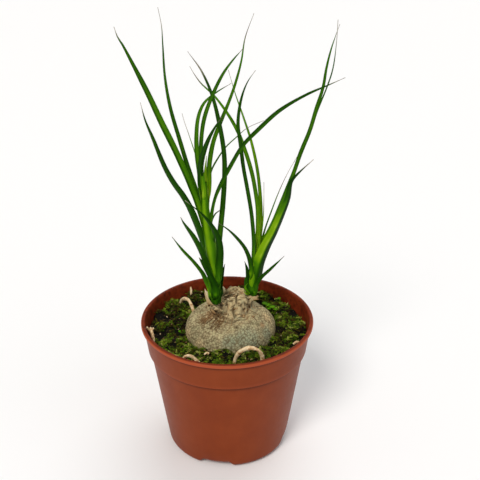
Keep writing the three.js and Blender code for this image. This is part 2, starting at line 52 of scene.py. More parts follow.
# Large soft sources, as in a light tent: where each comes from, its spread in degrees, its strength and
# its colour.
LIGHTS = {
    "key": {"from": (-36, -80, 92), "spread": 22, "strength": 1.9, "color": "#fffbf6"},
    "fill": {"from": (80, -50, 45), "spread": 60, "strength": 0.4, "color": "#f4f8ff"},
    "top": {"from": (20, 50, 100), "spread": 50, "strength": 0.95, "color": "#ffffff"},
}
SKY = 0.33
FLOOR = {"reach": 40000, "color": "#f8f8f8"}


def linear(colour):
    """A hex colour, as seen on screen, in the linear values that the shaders take."""
    parts = [int(colour[i:i + 2], 16) / 255 for i in (1, 3, 5)]
    return [c / 12.92 if c <= 0.04045 else ((c + 0.055) / 1.055) ** 2.4 for c in parts] + [1]


def facing(place, target):
    """The turn that points a camera or a light at its target."""
    return (Vector(target) - Vector(place)).to_track_quat("-Z", "Y").to_euler()


def add_stand(name, data, place, target):
    made = bpy.data.objects.new(name, data)
    made.location = Vector(place) * MM
    made.rotation_euler = facing(place, target)
    bpy.context.scene.collection.objects.link(made)
    return made


def add_camera():
    data = bpy.data.cameras.new("camera")
    data.lens = CAMERA["lens"]
    bpy.context.scene.camera = add_stand("camera", data, CAMERA["eye"], CAMERA["target"])


def add_lights():
    for name, light in LIGHTS.items():
        data = bpy.data.lights.new(name, "SUN")
        data.angle = math.radians(light["spread"])
        data.energy = light["strength"]
        data.color = linear(light["color"])[:3]
        add_stand(name, data, 10 * Vector(light["from"]), (0, 0, 0))
    world = bpy.data.worlds.new("studio")
    world.use_nodes = True
    sky = world.node_tree.nodes["Background"]
    sky.inputs["Color"].default_value = (1, 1, 1, 1)
    sky.inputs["Strength"].default_value = SKY
    bpy.context.scene.world = world
    bpy.context.scene.view_settings.view_transform = "Standard"


# ---- materials ---------------------------------------------------------------------------------------

# The two colours that a Mix node is given, and the settings of one that lays a pattern over a colour.
MIX_A = 6
MIX_B = 7
OVERLAY = {"data_type": "RGBA", "blend_type": "OVERLAY"}


def feed(tree, node, inputs):
    """Gives a node's inputs their numbers, their colours or what the nodes before it make."""
    for socket, value in inputs.items():
        if isinstance(value, bpy.types.Node):
            value = next(output for output in value.outputs if output.enabled)
        if isinstance(value, bpy.types.NodeSocket):
            tree.links.new(value, node.inputs[socket])
        else:
            node.inputs[socket].default_value = linear(value) if isinstance(value, str) else value


def add(tree, kind, inputs, stops=(), **settings):
    """Adds a shader node with its own settings and inputs, and with the stops of its colours."""
    made = tree.nodes.new("ShaderNode" + kind)
    for name, value in settings.items():
        setattr(made, name, value)
    feed(tree, made, inputs)
    for i, (place, colour) in enumerate(stops):
        ramp = made.color_ramp.elements
        stop = ramp[i] if i < 2 else ramp.new(place)
        stop.position = place
        stop.color = linear(colour)
    return made


def blank(name, roughness, ior, *marks):
    """A new material, with its tree, its surface, the place of a point on the object, and its marks."""
    finish = bpy.data.materials.new(name)
    finish.use_nodes = True
    tree = finish.node_tree
    skin = tree.nodes["Principled BSDF"]
    feed(tree, skin, {"Roughness": roughness, "IOR": ior})
    place = add(tree, "TexCoord", {}).outputs["Object"]
    marks = [add(tree, "Attribute", {}, attribute_name=mark).outputs["Fac"] for mark in marks]
    return finish, tree, skin, place, *marks


def grain(size):
    """The scale that gives a pattern features of this size, in millimetres."""
    return 1 / (size * MM)


def terracotta_polypropylene():
    """Moulded polypropylene with terracotta pigment: satin, a little cloudy, with soil smeared inside."""
    finish, tree, skin, place, inside, painted_highlight, painted_shade = blank(
        "terracotta polypropylene, injection moulded", 0.45, 1.22, "inside", "painted_highlight", "painted_shade")
    cloud = add(tree, "TexNoise", {"Vector": place, "Scale": grain(22), "Detail": 4, "Roughness": 0.6})
    body = add(tree, "ValToRGB", {"Fac": cloud}, [(0.3, "#7b3313"), (0.5, "#803614"), (0.72, "#853a17")])
    # Flow marks from the mould: faint upright streaks.
    stretched = add(tree, "Mapping", {"Vector": place, "Scale": (1, 1, 0.08)})
    flow = add(tree, "TexNoise", {"Vector": stretched, "Scale": grain(5), "Detail": 3})
    colour = add(tree, "Mix", {0: 0.06, MIX_A: body, MIX_B: flow}, **OVERLAY)
    # Above the moss the wall inside is darker, partly stained with damp and fine soil and partly painted
    # shade. The lip and the collar's lower edge carry a painted highlight, and painted shade lies under the
    # bead and under the collar.
    dirt = add(tree, "TexNoise", {"Vector": place, "Scale": grain(4), "Detail": 5, "Roughness": 0.7})
    # The wall inside is darker: partly stained by soil, partly painted shade.
    inner_stain_and_shade = add(tree, "ValToRGB", {"Fac": dirt}, [(0.33, "#4f1c0c"), (0.52, "#752b13"), (0.75, "#873719")])
    for mark, tint in ((inside, inner_stain_and_shade), (painted_highlight, "#aa4d2c"), (painted_shade, "#3d1508")):
        colour = add(tree, "Mix", {0: mark, MIX_A: colour, MIX_B: tint}, data_type="RGBA")
    handled = add(tree, "MapRange", {"Value": dirt, "To Min": 0.36, "To Max": 0.55})
    # The orange peel of the mould is about 0.5 mm wide, and it is drawn at 0.9 mm so that it shows.
    peel = add(tree, "TexNoise", {"Vector": place, "Scale": grain(0.9), "Detail": 2})
    bump = add(tree, "Bump", {"Strength": 0.12, "Distance": 0.1 * MM, "Height": peel})
    feed(tree, skin, {"Base Color": colour, "Roughness": handled, "Normal": bump})
    return finish


def potting_peat():
    """Damp peat and bark crumbs: near black where wet, with paler fibres."""
    finish, tree, skin, place = blank("potting peat, damp", 0.92, 1.45)
    crumbs = add(tree, "TexVoronoi", {"Vector": place, "Scale": grain(1.6)})
    colour = add(tree, "ValToRGB", {"Fac": crumbs.outputs["Color"]},
                 [(0.2, "#120c07"), (0.6, "#2a1b10"), (0.9, "#4a3320")])
    bump = add(tree, "Bump", {"Strength": 0.7, "Distance": 0.5 * MM, "Height": crumbs})
    feed(tree, skin, {"Base Color": colour, "Normal": bump})
    return finish


def crumb_finish():
    """Loose crumbs of bark, dry moss and grit, each of its own tone."""
    finish, tree, skin, place, tone = blank("bark crumbs and grit", 0.85, 1.45, "tone")
    colour = add(tree, "ValToRGB", {"Fac": tone},
                 [(0.0, "#1d120a"), (0.45, "#4b331d"), (0.8, "#8a6a42"), (1.0, "#cdb68f")])
    feed(tree, skin, {"Base Color": colour})
    return finish


def moss_finish():
    """Living cushion moss: darker towards the foot of each shoot, down between the shoots, as painted shade,
    and yellow-green at its tips.
    """
    finish, tree, skin, place, tone, tip = blank("cushion moss, living", 0.8, 1.25, "tone", "tip")
    colour = add(tree, "ValToRGB", {"Fac": tone},
                 [(0.0, "#33230b"), (0.2, "#6a5812"), (0.4, "#456408"), (0.65, "#6f970f"),
                  (0.85, "#a3bc2a"), (1.0, "#d9da74")])
    lit = add(tree, "MapRange", {"Value": tip, "From Min": 0.1, "From Max": 0.9, "To Min": 0.25})
    shaded = add(tree, "Mix", {0: lit, MIX_A: "#0c1404", MIX_B: colour}, data_type="RGBA")
    feed(tree, skin, {"Base Color": shaded})
    return finish


def moss_mat_finish():
    """The dead underlayer of the moss, seen in the gaps between its shoots: dark brown made near black, as
    painted shade in the gaps.
    """
    finish, tree, skin, place = blank("moss underlayer, near black as painted shade", 0.9, 1.25)
    patch = add(tree, "TexNoise", {"Vector": place, "Scale": grain(2.5), "Detail": 4, "Roughness": 0.7})
    colour = add(tree, "ValToRGB", {"Fac": patch}, [(0.35, "#040301"), (0.55, "#0f0d06"), (0.7, "#241b0b")])
    bump = add(tree, "Bump", {"Strength": 0.8, "Distance": 0.6 * MM, "Height": patch})
    feed(tree, skin, {"Base Color": colour, "Normal": bump})
    return finish


def caudex_bark():
    """The grey corky skin of the caudex: pebbled by fine cracks, with algae, rust and pale yellow patches,
    painted shade in its creases, pits and the stump's bowl, and painted highlights on its raised folds and
    rings.
    """
    finish, tree, skin, place, crack, *stains_and_painted_light = blank(
        "caudex bark, corky", 0.85, 1.3, "crack", "algae", "rust", "straw_and_highlight", "pit_shade")
    cloud = add(tree, "TexNoise", {"Vector": place, "Scale": grain(9), "Detail": 5, "Roughness": 0.65})
    bare = add(tree, "ValToRGB", {"Fac": cloud}, [(0.3, "#b7ae82"), (0.5, "#c4bb8e"), (0.7, "#d1c89d")])
    # Each plate of cork is a little lighter or darker than the next.
    plates = add(tree, "TexVoronoi", {"Vector": place, "Scale": grain(1.9)})
    paler = add(tree, "ValToRGB", {"Fac": plates.outputs["Color"]}, [(0.25, "#707070"), (0.75, "#9c9c9c")])
    colour = add(tree, "Mix", {0: 0.6, MIX_A: bare, MIX_B: paler}, **OVERLAY)
    # The pale mark is partly painted highlight on the neck's raised folds, ridge and ring crests. The dark
    # brown mark is painted shade in the neck's pits and creases and in the stump's bowl. The crack tint
    # darkens the cork's cracks and also paints shade in the creases, between the rings and in the bowl.
    tints = (("#84937a", 0.6), ("#a87448", 0.5), ("#d6be8e", 0.75), ("#3b2813", 0.92), ("#5a4a30", 0.8))
    for mark, (tint, share) in zip((*stains_and_painted_light, crack), tints):
        strength = add(tree, "Math", {0: mark, 1: share}, operation="MULTIPLY")
        colour = add(tree, "Mix", {0: strength, MIX_A: colour, MIX_B: tint}, data_type="RGBA")
    fine = add(tree, "TexNoise", {"Vector": place, "Scale": grain(0.6), "Detail": 3})
    bump = add(tree, "Bump", {"Strength": 0.5, "Distance": 0.15 * MM, "Height": fine})
    feed(tree, skin, {"Base Color": colour, "Normal": bump})
    return finish


def dried_scale():
    """The dried bases of fallen leaves: papery, pale yellow to brown, with fibres that run along them."""
    finish, tree, skin, place, tone = blank("dried leaf base, papery", 0.75, 1.35, "tone")
    colour = add(tree, "ValToRGB", {"Fac": tone},
                 [(0.0, "#4a2f18"), (0.35, "#8d6c43"), (0.7, "#bfa679"), (1.0, "#e3d4b0")])
    fibre = add(tree, "TexNoise", {"Vector": place, "Scale": grain(0.7), "Detail": 3})
    streaked = add(tree, "Mix", {0: 0.35, MIX_A: colour, MIX_B: fibre}, **OVERLAY)
    bump = add(tree, "Bump", {"Strength": 0.6, "Distance": 0.2 * MM, "Height": fibre})
    feed(tree, skin, {"Base Color": streaked, "Normal": bump})
    return finish


def dry_root():
    """A dried aerial root: pale yellow skin that has flaked to brown in spots."""
    finish, tree, skin, place = blank("dry root, flaking", 0.75, 1.45)
    spot = add(tree, "TexNoise", {"Vector": place, "Scale": grain(2.2), "Detail": 4, "Roughness": 0.7})
    colour = add(tree, "ValToRGB", {"Fac": spot},
                 [(0.34, "#84592f"), (0.44, "#c9a273"), (0.56, "#e8cfa4"), (0.75, "#f6e6c6")])
    wrinkle = add(tree, "TexNoise", {"Vector": place, "Scale": grain(0.7), "Detail": 3})
    bump = add(tree, "Bump", {"Strength": 0.6, "Distance": 0.2 * MM, "Height": wrinkle})
    feed(tree, skin, {"Base Color": colour, "Normal": bump})
    return finish


def palm_leaf():
    """A tough strap leaf: satin green with fine veins along it, paler at its base, and dry at its tip."""
    finish, tree, skin, place, tone, sideways, dry = blank(
        "ponytail palm leaf, living", 0.5, 1.13, "tone", "sideways", "dry")
    mottle = add(tree, "TexNoise", {"Vector": place, "Scale": grain(8), "Detail": 4})
    shift = add(tree, "MapRange", {"Value": mottle, "To Min": -0.12, "To Max": 0.12})
    toned = add(tree, "Math", {0: tone, 1: shift}, operation="ADD")
    green = add(tree, "ValToRGB", {"Fac": toned},
                [(0.0, "#0f3400"), (0.3, "#265502"), (0.55, "#487c04"), (0.8, "#7ca60c"), (1.0, "#b6ca50")])
    # The veins are about 0.35 mm apart. They are drawn twice as far apart, so that they show.
    turns = add(tree, "Math", {0: sideways, 1: TURN / 0.7}, operation="MULTIPLY")
    vein = add(tree, "Math", {0: turns}, operation="SINE")
    faint = add(tree, "MapRange", {"Value": vein, "From Min": -1, "To Min": 0.38, "To Max": 0.62})
    veined = add(tree, "Mix", {0: 0.5, MIX_A: green, MIX_B: faint}, **OVERLAY)
    brown = add(tree, "ValToRGB", {"Fac": mottle}, [(0.35, "#6a5e4a"), (0.65, "#a59c88")])
    colour = add(tree, "Mix", {0: dry, MIX_A: veined, MIX_B: brown}, data_type="RGBA")
    bump = add(tree, "Bump", {"Strength": 0.25, "Distance": 0.05 * MM, "Height": vein})
    feed(tree, skin, {"Base Color": colour, "Normal": bump})
    return finish


def floor_paint():
    """A matt painted table."""
    finish, tree, skin, place = blank("matt white paint", 0.9, 1.45)
    feed(tree, skin, {"Base Color": FLOOR["color"]})
    return finish

# ---- making shapes -----------------------------------------------------------------------------------

def mix(a, b, share):
    return a + (b - a) * share


def clamp(value):
    return min(1, max(0, value))


def smoothstep(value, low, high):
    share = clamp((value - low) / (high - low))
    return share * share * (3 - 2 * share)


def toward(angle):
    """The level direction at an angle from +X."""
    return Vector((math.cos(angle), math.sin(angle), 0))


def drawn(seed):
    """Random draws from 0 to 1, by the rule that the solids are drawn with."""
    state = seed
    while True:
        state = (state * 1664525 + 1013904223) % 4294967296
        yield state / 4294967296


def rough(place, size, seed=0):
    """Smooth noise from about -1 to 1 whose bumps are about size across."""
    return noise.noise(Vector(place) / size + Vector((seed * 17.3, seed * 5.1, 0)))


def add_piece(name, shape, finish, stands_for=()):
    """Makes a piece of the object from a bmesh or a mesh. It rides on the part's one body."""
    mesh = shape
    if isinstance(shape, bmesh.types.BMesh):
        mesh = bpy.data.meshes.new(name)
        shape.to_mesh(mesh)
        shape.free()
    mesh.transform(Matrix.Scale(MM, 4))
    mesh.shade_smooth()
    mesh.materials.append(finish)
    piece = bpy.data.objects.new(name, mesh)
    bpy.context.scene.collection.objects.link(piece)
    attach(piece, "root")
    if stands_for:
        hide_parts(*stands_for)
    return piece


def marked(shape, *names):
    """New layers of numbers on a shape's points, by name, which the materials read."""
    return {name: shape.verts.layers.float.new(name) for name in names}


def close_up(shape):
    """Welds a shape's seams and poles, closes its open ends and faces it outwards."""
    bmesh.ops.remove_doubles(shape, verts=shape.verts, dist=1e-4)
    bmesh.ops.holes_fill(shape, edges=[edge for edge in shape.edges if edge.is_boundary], sides=0)
    bmesh.ops.recalc_face_normals(shape, faces=shape.faces)


def smooth_line(points, count):
    """Evenly spaced points and directions on the centripetal curve through some points."""
    p = np.array(points, float)
    p = np.vstack([2 * p[0] - p[1], p, 2 * p[-1] - p[-2]])
    fine = [p[1]]
    for a, b, c, d in zip(p, p[1:], p[2:], p[3:]):
        ab, bc, cd = (np.sqrt(np.linalg.norm(n - m)) for m, n in ((a, b), (b, c), (c, d)))
        leave = ((b - a) / ab - (c - a) / (ab + bc) + (c - b) / bc) * bc
        arrive = ((c - b) / bc - (d - b) / (bc + cd) + (d - c) / cd) * bc
        for t in np.linspace(0, 1, 25)[1:]:
            fine.append(b + leave * t + (3 * (c - b) - 2 * leave - arrive) * t**2
                        + (2 * (b - c) + leave + arrive) * t**3)
    fine = np.array(fine)
    run = np.concatenate([[0], np.cumsum(np.linalg.norm(np.diff(fine, axis=0), axis=1))])
    even = np.linspace(0, run[-1], count)
    line = np.column_stack([np.interp(even, run, fine[:, axis]) for axis in range(p.shape[1])])
    along = np.gradient(line, axis=0)
    return line, along / np.linalg.norm(along, axis=1)[:, None], run[-1]


def rounded(corners, longest):
    """An outline through [radius, height, rounding] corners, with no step longer than longest."""
    outline = [Vector(corners[0][:2])]
    for before, here, after in zip(corners, corners[1:], corners[2:]):
        corner = Vector(here[:2])
        back = (Vector(before[:2]) - corner).normalized()
        on = (Vector(after[:2]) - corner).normalized()
        if not here[2]:
            outline.append(corner)
            continue
        half = back.angle(on) / 2
        centre = corner + (back + on).normalized() * here[2] / math.sin(half)
        start = corner + back * here[2] / math.tan(half) - centre
        end = corner + on * here[2] / math.tan(half) - centre
        outline += [centre + start.slerp(end, i / 8) * here[2] for i in range(9)]  # slerp gives unit length
    outline.append(Vector(corners[-1][:2]))
    even = [outline[0]]
    for a, b in zip(outline, outline[1:]):
        parts = max(1, math.ceil((b - a).length / longest))
        even += [a.lerp(b, (i + 1) / parts) for i in range(parts)]
    return even


def spun(outline, steps, closed=False, marks=None):
    """A round body: (radius, height) points spun about Z. Marks are numbers for the points, by name."""
    shape = bmesh.new()
    layers = marked(shape, *(marks or {}))
    points = [shape.verts.new((radius, 0, height)) for radius, height in outline]
    for name, layer in layers.items():
        for point, mark in zip(points, marks[name]):
            point[layer] = mark
    edges = [shape.edges.new(pair) for pair in zip(points, points[1:])]
    if closed:
        edges.append(shape.edges.new((points[-1], points[0])))
    bmesh.ops.spin(shape, geom=points + edges, cent=(0, 0, 0), axis=(0, 0, 1), dvec=(0, 0, 0),
                   angle=TURN, steps=steps, use_merge=True, use_normal_flip=False, use_duplicate=False)
    close_up(shape)
    return shape


def thicken(shape, faces, down):
    """Gives an open sheet its underside. Each point's own layer says how far down that lies."""
    grown = bmesh.ops.extrude_face_region(shape, geom=list(faces), use_keep_orig=True)
    for point in grown["geom"]:
        if isinstance(point, bmesh.types.BMVert):
            point.co += point[down]


def add_tube(shape, line, around, reach):
    """A closed tube along a line of points. Its radius is a rule of the share along and the angle."""
    steps = len(line) - 1
    along = np.gradient(line, axis=0)
    along /= np.linalg.norm(along, axis=1)[:, None]
    across = np.cross(along[0], (0.3, 0.9, 0.1))
    frames = []
    for forward in along:
        across = across - forward * across.dot(forward)
        across /= np.linalg.norm(across)
        frames.append((across, np.cross(forward, across)))
    grid = bmesh.ops.create_grid(shape, x_segments=around, y_segments=steps, size=0.5)["verts"]
    for point in grid:
        angle = (point.co.x + 0.5) * TURN
        share = point.co.y + 0.5
        i = round(share * steps)
        radius = reach(share, angle)
        point.co = line[i] + radius * (math.cos(angle) * frames[i][0] + math.sin(angle) * frames[i][1])


def scatter(name, unit, spots, finish):
    """One piece of many copies of a small unit. A spot is (place, turn, lean, size, tone)."""
    bmesh.ops.triangulate(unit, faces=unit.faces)
    unit.verts.index_update()
    corners = np.array([point.co for point in unit.verts])
    faces = np.array([[point.index for point in face.verts] for face in unit.faces])
    unit.free()
    places = []
    for place, turn, lean, size, tone in spots:
        tilt = Matrix.Rotation(turn, 3, "Z") @ Matrix.Rotation(lean, 3, "Y") @ Matrix.Rotation(-turn, 3, "Z")
        spin = np.array(tilt @ Matrix.Rotation(turn * 5, 3, "Z")) * size
        places.append(corners @ spin.T + np.array(place))
    shift = np.arange(len(spots))[:, None, None] * len(corners)
    mesh = bpy.data.meshes.new(name)
    mesh.from_pydata(np.vstack(places).tolist(), [], (faces[None] + shift).reshape(-1, 3).tolist())
    tips = np.tile(corners[:, 2] / corners[:, 2].max(), len(spots))
    tones = np.repeat([spot[4] for spot in spots], len(corners))
    for attribute, values in (("tip", tips), ("tone", tones)):
        made = mesh.attributes.new(attribute, "FLOAT", "POINT")
        made.data.foreach_set("value", values.astype(np.float32))
    return add_piece(name, mesh, finish)


# ---- the pot -----------------------------------------------------------------------------------------

POT = {
    "steps": 240,
    "wall": 1.3,
    "drain_radius": 3,
    "drain_circle": 31,
    "drain_spread": 11,  # degrees from the middle of a recess to each of its two holes
    "crisp": 50,  # edges that turn by more degrees than this stay crisp
}
# Half of the pot's section, from the middle of its underside, up its outside and down its inside:
# [radius, height, rounding].
POT_OUTLINE = [
    (0, 0, 0), (42.53, 0, 5.7), (54.05, 76.3, 0.2), (55.72, 76.7, 0.35), (58.2, 95.1, 0.2),
    (59.98, 95.5, 0.7), (59.98, 98, 1.2), (57.5, 98, 0.6), (56.95, 96.4, 1), (54.4, 77, 0.5),
    (52.8, 75.4, 0.5), (41.42, 1.3, 4.4), (0, 1.3, 0),
]
# The base is pressed up in four places round its edge, where it drains.
RECESS = {"first": -101, "height": 2.9, "half_width": 13, "slope": 4.5, "inner": 23, "fade": (2, 13)}
RECESSES = [math.radians(RECESS["first"] + 90 * i) for i in range(4)]


def base_lift(place):
    """How far the base and the soil on it are pressed up at a place. Up the wall this fades out."""
    lift = 0
    for angle in RECESSES:
        outward = place.x * math.cos(angle) + place.y * math.sin(angle)
        sideways = abs(place.y * math.cos(angle) - place.x * math.sin(angle))
        share = smoothstep(RECESS["half_width"] - sideways, 0, RECESS["slope"])
        share *= smoothstep(outward - RECESS["inner"], -1.5, 1.5)
        lift = max(lift, RECESS["height"] * share)
    return lift * (1 - smoothstep(place.z, *RECESS["fade"]))


def bored(shape, cutter):
    """The shape as a mesh, with a cutter's solids taken out of it."""
    made = []
    for name, part in (("bored", shape), ("cutter", cutter)):
        mesh = bpy.data.meshes.new(name)
        part.to_mesh(mesh)
        part.free()
        made.append(bpy.data.objects.new(name, mesh))
        bpy.context.scene.collection.objects.link(made[-1])
    cut = made[0].modifiers.new("cut", "BOOLEAN")
    cut.operation = "DIFFERENCE"
    cut.object = made[1]
    seen = made[0].evaluated_get(bpy.context.evaluated_depsgraph_get())
    mesh = bpy.data.meshes.new_from_object(seen)
    for each in made:
        bpy.data.objects.remove(each)
    return mesh


def add_pot(finish):
    """The spun shell. Its marks are the wall inside, darker with soil and with painted shade; the lip and
    the collar's lower edge, with a painted highlight; and painted shade under the bead and under the collar.
    """
    outline = rounded(POT_OUTLINE, 3)
    widest = max(range(len(outline)), key=lambda i: outline[i].x)
    inside = [smoothstep(-point.x, -59.6, -58.8) if i > widest else 0 for i, point in enumerate(outline)]
    # Painted highlight along the lip's outer edge and, weaker, along the collar's lower edge.
    painted_highlight = [0.9 * smoothstep(point.x, 59.3, 59.9) for point in outline]
    painted_shade = [0] * len(outline)
    for i, point in enumerate(outline[:widest]):
        painted_highlight[i] = max(painted_highlight[i], 0.2 * (point.x > 55.5) * (1 - smoothstep(point.y, 77.4, 78.6)))
        # Painted shade under the collar's step and under the bead.
        under_collar = smoothstep(point.y, 73, 75.6) * (point.x < 55.2)
        under_bead = smoothstep(point.y, 92.4, 94.4) * (point.x < 59.2)
        painted_shade[i] = 0.75 * min(1, under_collar + under_bead)
    shape = spun(outline, POT["steps"], marks={"inside": inside, "painted_highlight": painted_highlight, "painted_shade": painted_shade})
    for point in shape.verts:
        point.co.z += base_lift(point.co)
    drills = bmesh.new()
    for angle in RECESSES:
        for side in (-1, 1):
            turn = Matrix.Rotation(angle + side * math.radians(POT["drain_spread"]), 4, "Z")
            bmesh.ops.create_cone(drills, cap_ends=True, segments=32, radius1=POT["drain_radius"],
                                  radius2=POT["drain_radius"], depth=24,
                                  matrix=turn @ Matrix.Translation((POT["drain_circle"], 0, 0)))
    mesh = bored(shape, drills)
    mesh.set_sharp_from_angle(angle=math.radians(POT["crisp"]))
    add_piece("pot_shell", mesh, finish, ["pot"])


# ---- the soil and the moss ---------------------------------------------------------------------------

SOIL = {"gap": 0.3, "top": 84, "dip": 69.5, "dip_radius": 32, "crumbs": 0.5}
MOSS = {
    "top": 87.5,
    "rise_behind": 2.6,
    "circles": ((37, 11), (45.5, 13), (52, 16)),  # (radius, cushions on it)
    "radius": (6, 10),
    "height": (1.6, 4.4),
    "clump": 3.6,  # how wide the small cushions are, and how high
    "clump_height": 2.8,
    "sunk": 1.7,  # how far the foot of the shoots lies under the moss's own height
    "spacing": 1,
    "inner": 27,
    "outer": 55.2,
    "wall_gap": 1.6,  # shoots stand this far from the pot's wall
}


def bore(height):
    """The radius inside the pot's collar."""
    return mix(54.4, 57, (height - 77) / 17.6)


def add_soil(finish):
    """The soil fills the pot up to the moss, and the caudex stands in the dip in its middle."""
    floor, top = POT["wall"] + SOIL["gap"], SOIL["top"]
    edge, dip = SOIL["dip_radius"], SOIL["dip"]
    shape = spun(rounded([
        (0, floor, 0), (41.1, floor, 4.1), (52.5, 75.2, 0.5), (54.1, 76.9, 0.5),
        (bore(top) - SOIL["gap"], top, 0.6), (edge + 2, 83.6, 1), (edge - 4, 76, 3), (16, dip, 4),
        (0, dip, 0),
    ], 2), 160)
    for point in shape.verts:
        point.co.z += base_lift(point.co)
        if point.co.z > 80:
            point.co.z -= SOIL["crumbs"] * abs(rough(point.co, 2.2))
    add_piece("peat_soil", shape, finish, ["soil"])


def moss_cushions():
    draw = drawn(21)
    cushions = []
    for circle, count in MOSS["circles"]:
        for i in range(count):
            angle = (i + 0.6 * next(draw)) * TURN / count
            r = circle + 4 * (next(draw) - 0.5)
            radius = mix(*MOSS["radius"], next(draw))
            height = mix(*MOSS["height"], next(draw))
            cushions.append((r * math.cos(angle), r * math.sin(angle), radius, height))
    return cushions


# The last ones lap over the caudex's foot.
CUSHIONS = moss_cushions() + [(-14, -32, 7.5, 4.2), (-3, -34, 9, 5.6), (12, -34, 6.5, 3.4)]


def moss_height(x, y):
    rise = MOSS["rise_behind"] * smoothstep(y, 5, 50)
    heights = [high * (1 - ((x - a) ** 2 + (y - b) ** 2) / radius**2) for a, b, radius, high in CUSHIONS]
    return MOSS["top"] + rise + max(0, *heights)


def clump(x, y):
    """How high a place lies on its small cushion of moss, from 0 in a gap to 1 on top."""
    near = noise.voronoi((x / MOSS["clump"], y / MOSS["clump"], 0.3))[0][0]
    return max(0, 1 - (1.3 * near) ** 2)


def add_moss_mat(finish):
    inner, outer = MOSS["inner"], MOSS["outer"]
    across = [(mix(inner, outer, i / 34), 89) for i in range(35)]
    shape = spun(across + [(outer, 84.4), (inner, 84.4)], 200, closed=True)
    for point in shape.verts:
        x, y, z = point.co
        if z > 88:
            point.co.z = moss_height(x, y) - MOSS["sunk"] + MOSS["clump_height"] * (clump(x, y) - 0.75)
    add_piece("moss_mat", shape, finish, ["moss"])


def add_leaflet(unit, width, length, placed):
    """One flat pointed leaflet of a moss shoot."""
    bmesh.ops.create_cone(unit, cap_ends=True, segments=3, radius1=width / 2, radius2=0, depth=length,
                          matrix=placed @ Matrix.Diagonal((0.5, 1, 1, 1))
                          @ Matrix.Translation((0, 0, length / 2)))


def star_shoot():
    """A moss shoot from above is a star: a low whorl of leaflets and a steep one inside it."""
    unit = bmesh.new()
    for whorl, (count, lean, length) in enumerate(((5, 1.15, 1.7), (4, 0.45, 1.5))):
        for i in range(count):
            turn = Matrix.Rotation((i + 0.5 * whorl) * TURN / count, 4, "Z")
            add_leaflet(unit, 0.6, length, turn @ Matrix.Rotation(lean, 4, "Y"))
    bmesh.ops.remove_doubles(unit, verts=unit.verts, dist=1e-4)
    return unit


def feather_shoot():
    """A creeping moss shoot: short leaflets on both sides of a stem that rises at its end."""
    unit = bmesh.new()
    for i in range(8):
        run = i / 7
        root = Matrix.Translation((2.6 * run - 1.3, 0, 0.5 + 0.5 * run))
        side = Matrix.Rotation((1 if i % 2 else -1) * mix(1.3, 0.3, run), 4, "Z")
        add_leaflet(unit, 0.52, mix(1.2, 0.8, run), root @ side @ Matrix.Rotation(1.2, 4, "Y"))
    bmesh.ops.remove_doubles(unit, verts=unit.verts, dist=1e-4)
    return unit


def moss_spots(seed):
    """Where moss shoots stand: a jittered grid over the mat, thinner where the soil shows."""
    draw = random.Random(seed)
    spots = []
    step = MOSS["spacing"] * math.sqrt(2)
    reach = int(56 / step)
    for i in range(-reach, reach + 1):
        for j in range(-reach, reach + 1):
            x = (i + draw.uniform(-0.5, 0.5)) * step
            y = (j + draw.uniform(-0.5, 0.5)) * step
            turn, lean = draw.uniform(0, TURN), draw.uniform(0, 0.6)
            size, wild, keep = draw.uniform(0.7, 1.35), draw.uniform(-0.42, 0.42), draw.random()
            height = moss_height(x, y)
            high = clump(x, y)
            # The soil shows in patches, most of them at the left.
            bare = rough((x, y, 40), 7, 2)
            bare += 0.45 * smoothstep(-x, 20, 34) * (1 - smoothstep(abs(y - 4), 6, 20))
            if not on_moss(x, y, height) or high < 0.14 or keep < 2.4 * (bare - 0.16):
                continue
            # Lighter and greener on its small cushion's top and darker down in the gaps, as painted light
            # and shade; greener at the right and at the front left, and browner at the back, at the left and
            # round bare soil.
            tone = 0.13 + 0.5 * high + 0.42 * rough((x, y, 0), 8) + 0.26 * rough((x, y, 9), 3) + wild
            tone += 0.06 * smoothstep(x, 10, 40) - 0.12 * smoothstep(y, 20, 45) - 0.4 * max(0, bare)
            tone += 0.12 * smoothstep(-x - y, 40, 62)
            tone -= 0.12 * smoothstep(-x, 15, 30) * smoothstep(y, -18, -6)
            z = height - MOSS["sunk"] + MOSS["clump_height"] * (high - 0.55)
            spots.append(((x, y, z), turn, lean, size, clamp(tone)))
    return spots


def on_moss(x, y, height):
    """Whether a place is between the caudex and the pot's wall."""
    return caudex_reach(x, y, height) > -0.2 and math.hypot(x, y) < bore(height) - MOSS["wall_gap"]


# ---- the caudex and its crown ------------------------------------------------------------------------

# A wave round an outline: (times in a turn, depth, the angle where it starts).
CAUDEX = {"x": 2, "waves": ((2, 0.022, 0.3), (3, 0.012, 0.36)), "neck": (96, 106), "steps": 480}
CROWN = {
    "x": 3.2, "y": 2.5,
    "waves": ((5, 0.07, 0.1), (9, 0.05, 0.17)),
    "sag": 1.6, "sag_at": 3.9,
    "lift": 3.5, "lift_up": (104, 111.5), "lift_from": (-4, 3), "lift_to": (11, 16), "set_back": 0.62,
    "flakes": 17, "flake_lean": (0.25, 0.95), "flake_length": (2.6, 5), "flake_width": (3.2, 5.5),
    "scraps": 60,
}
# Larger papery scales: foot, tip, width, tone, and the azimuth that they face.
SCALES = [
    ((-11.4, -3.2, 109.5), (-15.6, 0, 120), 4.8, 0.75, 250),
    ((-2.4, 8, 112.5), (-3.8, 9.5, 117.4), 3.6, 0.85, 270),
    ((15.6, 1.2, 110.6), (15.8, 2.2, 113.8), 11.5, 0.55, 275),
    ((18.4, 2.4, 110.4), (21.6, 3, 113.2), 3.6, 0.4, 280),
    ((10.4, 2, 113.2), (11.4, 3.5, 116.6), 3.6, 0.5, 250),
    ((-8.5, -10, 106.5), (-11.5, -9.6, 110), 2.6, 0.35, 250),
]
FIBRES = {
    "count": 120,
    "where": (214, 20),  # the azimuth that most of them hang about, and how far they spread from it
    "height": (103.4, 108),
}
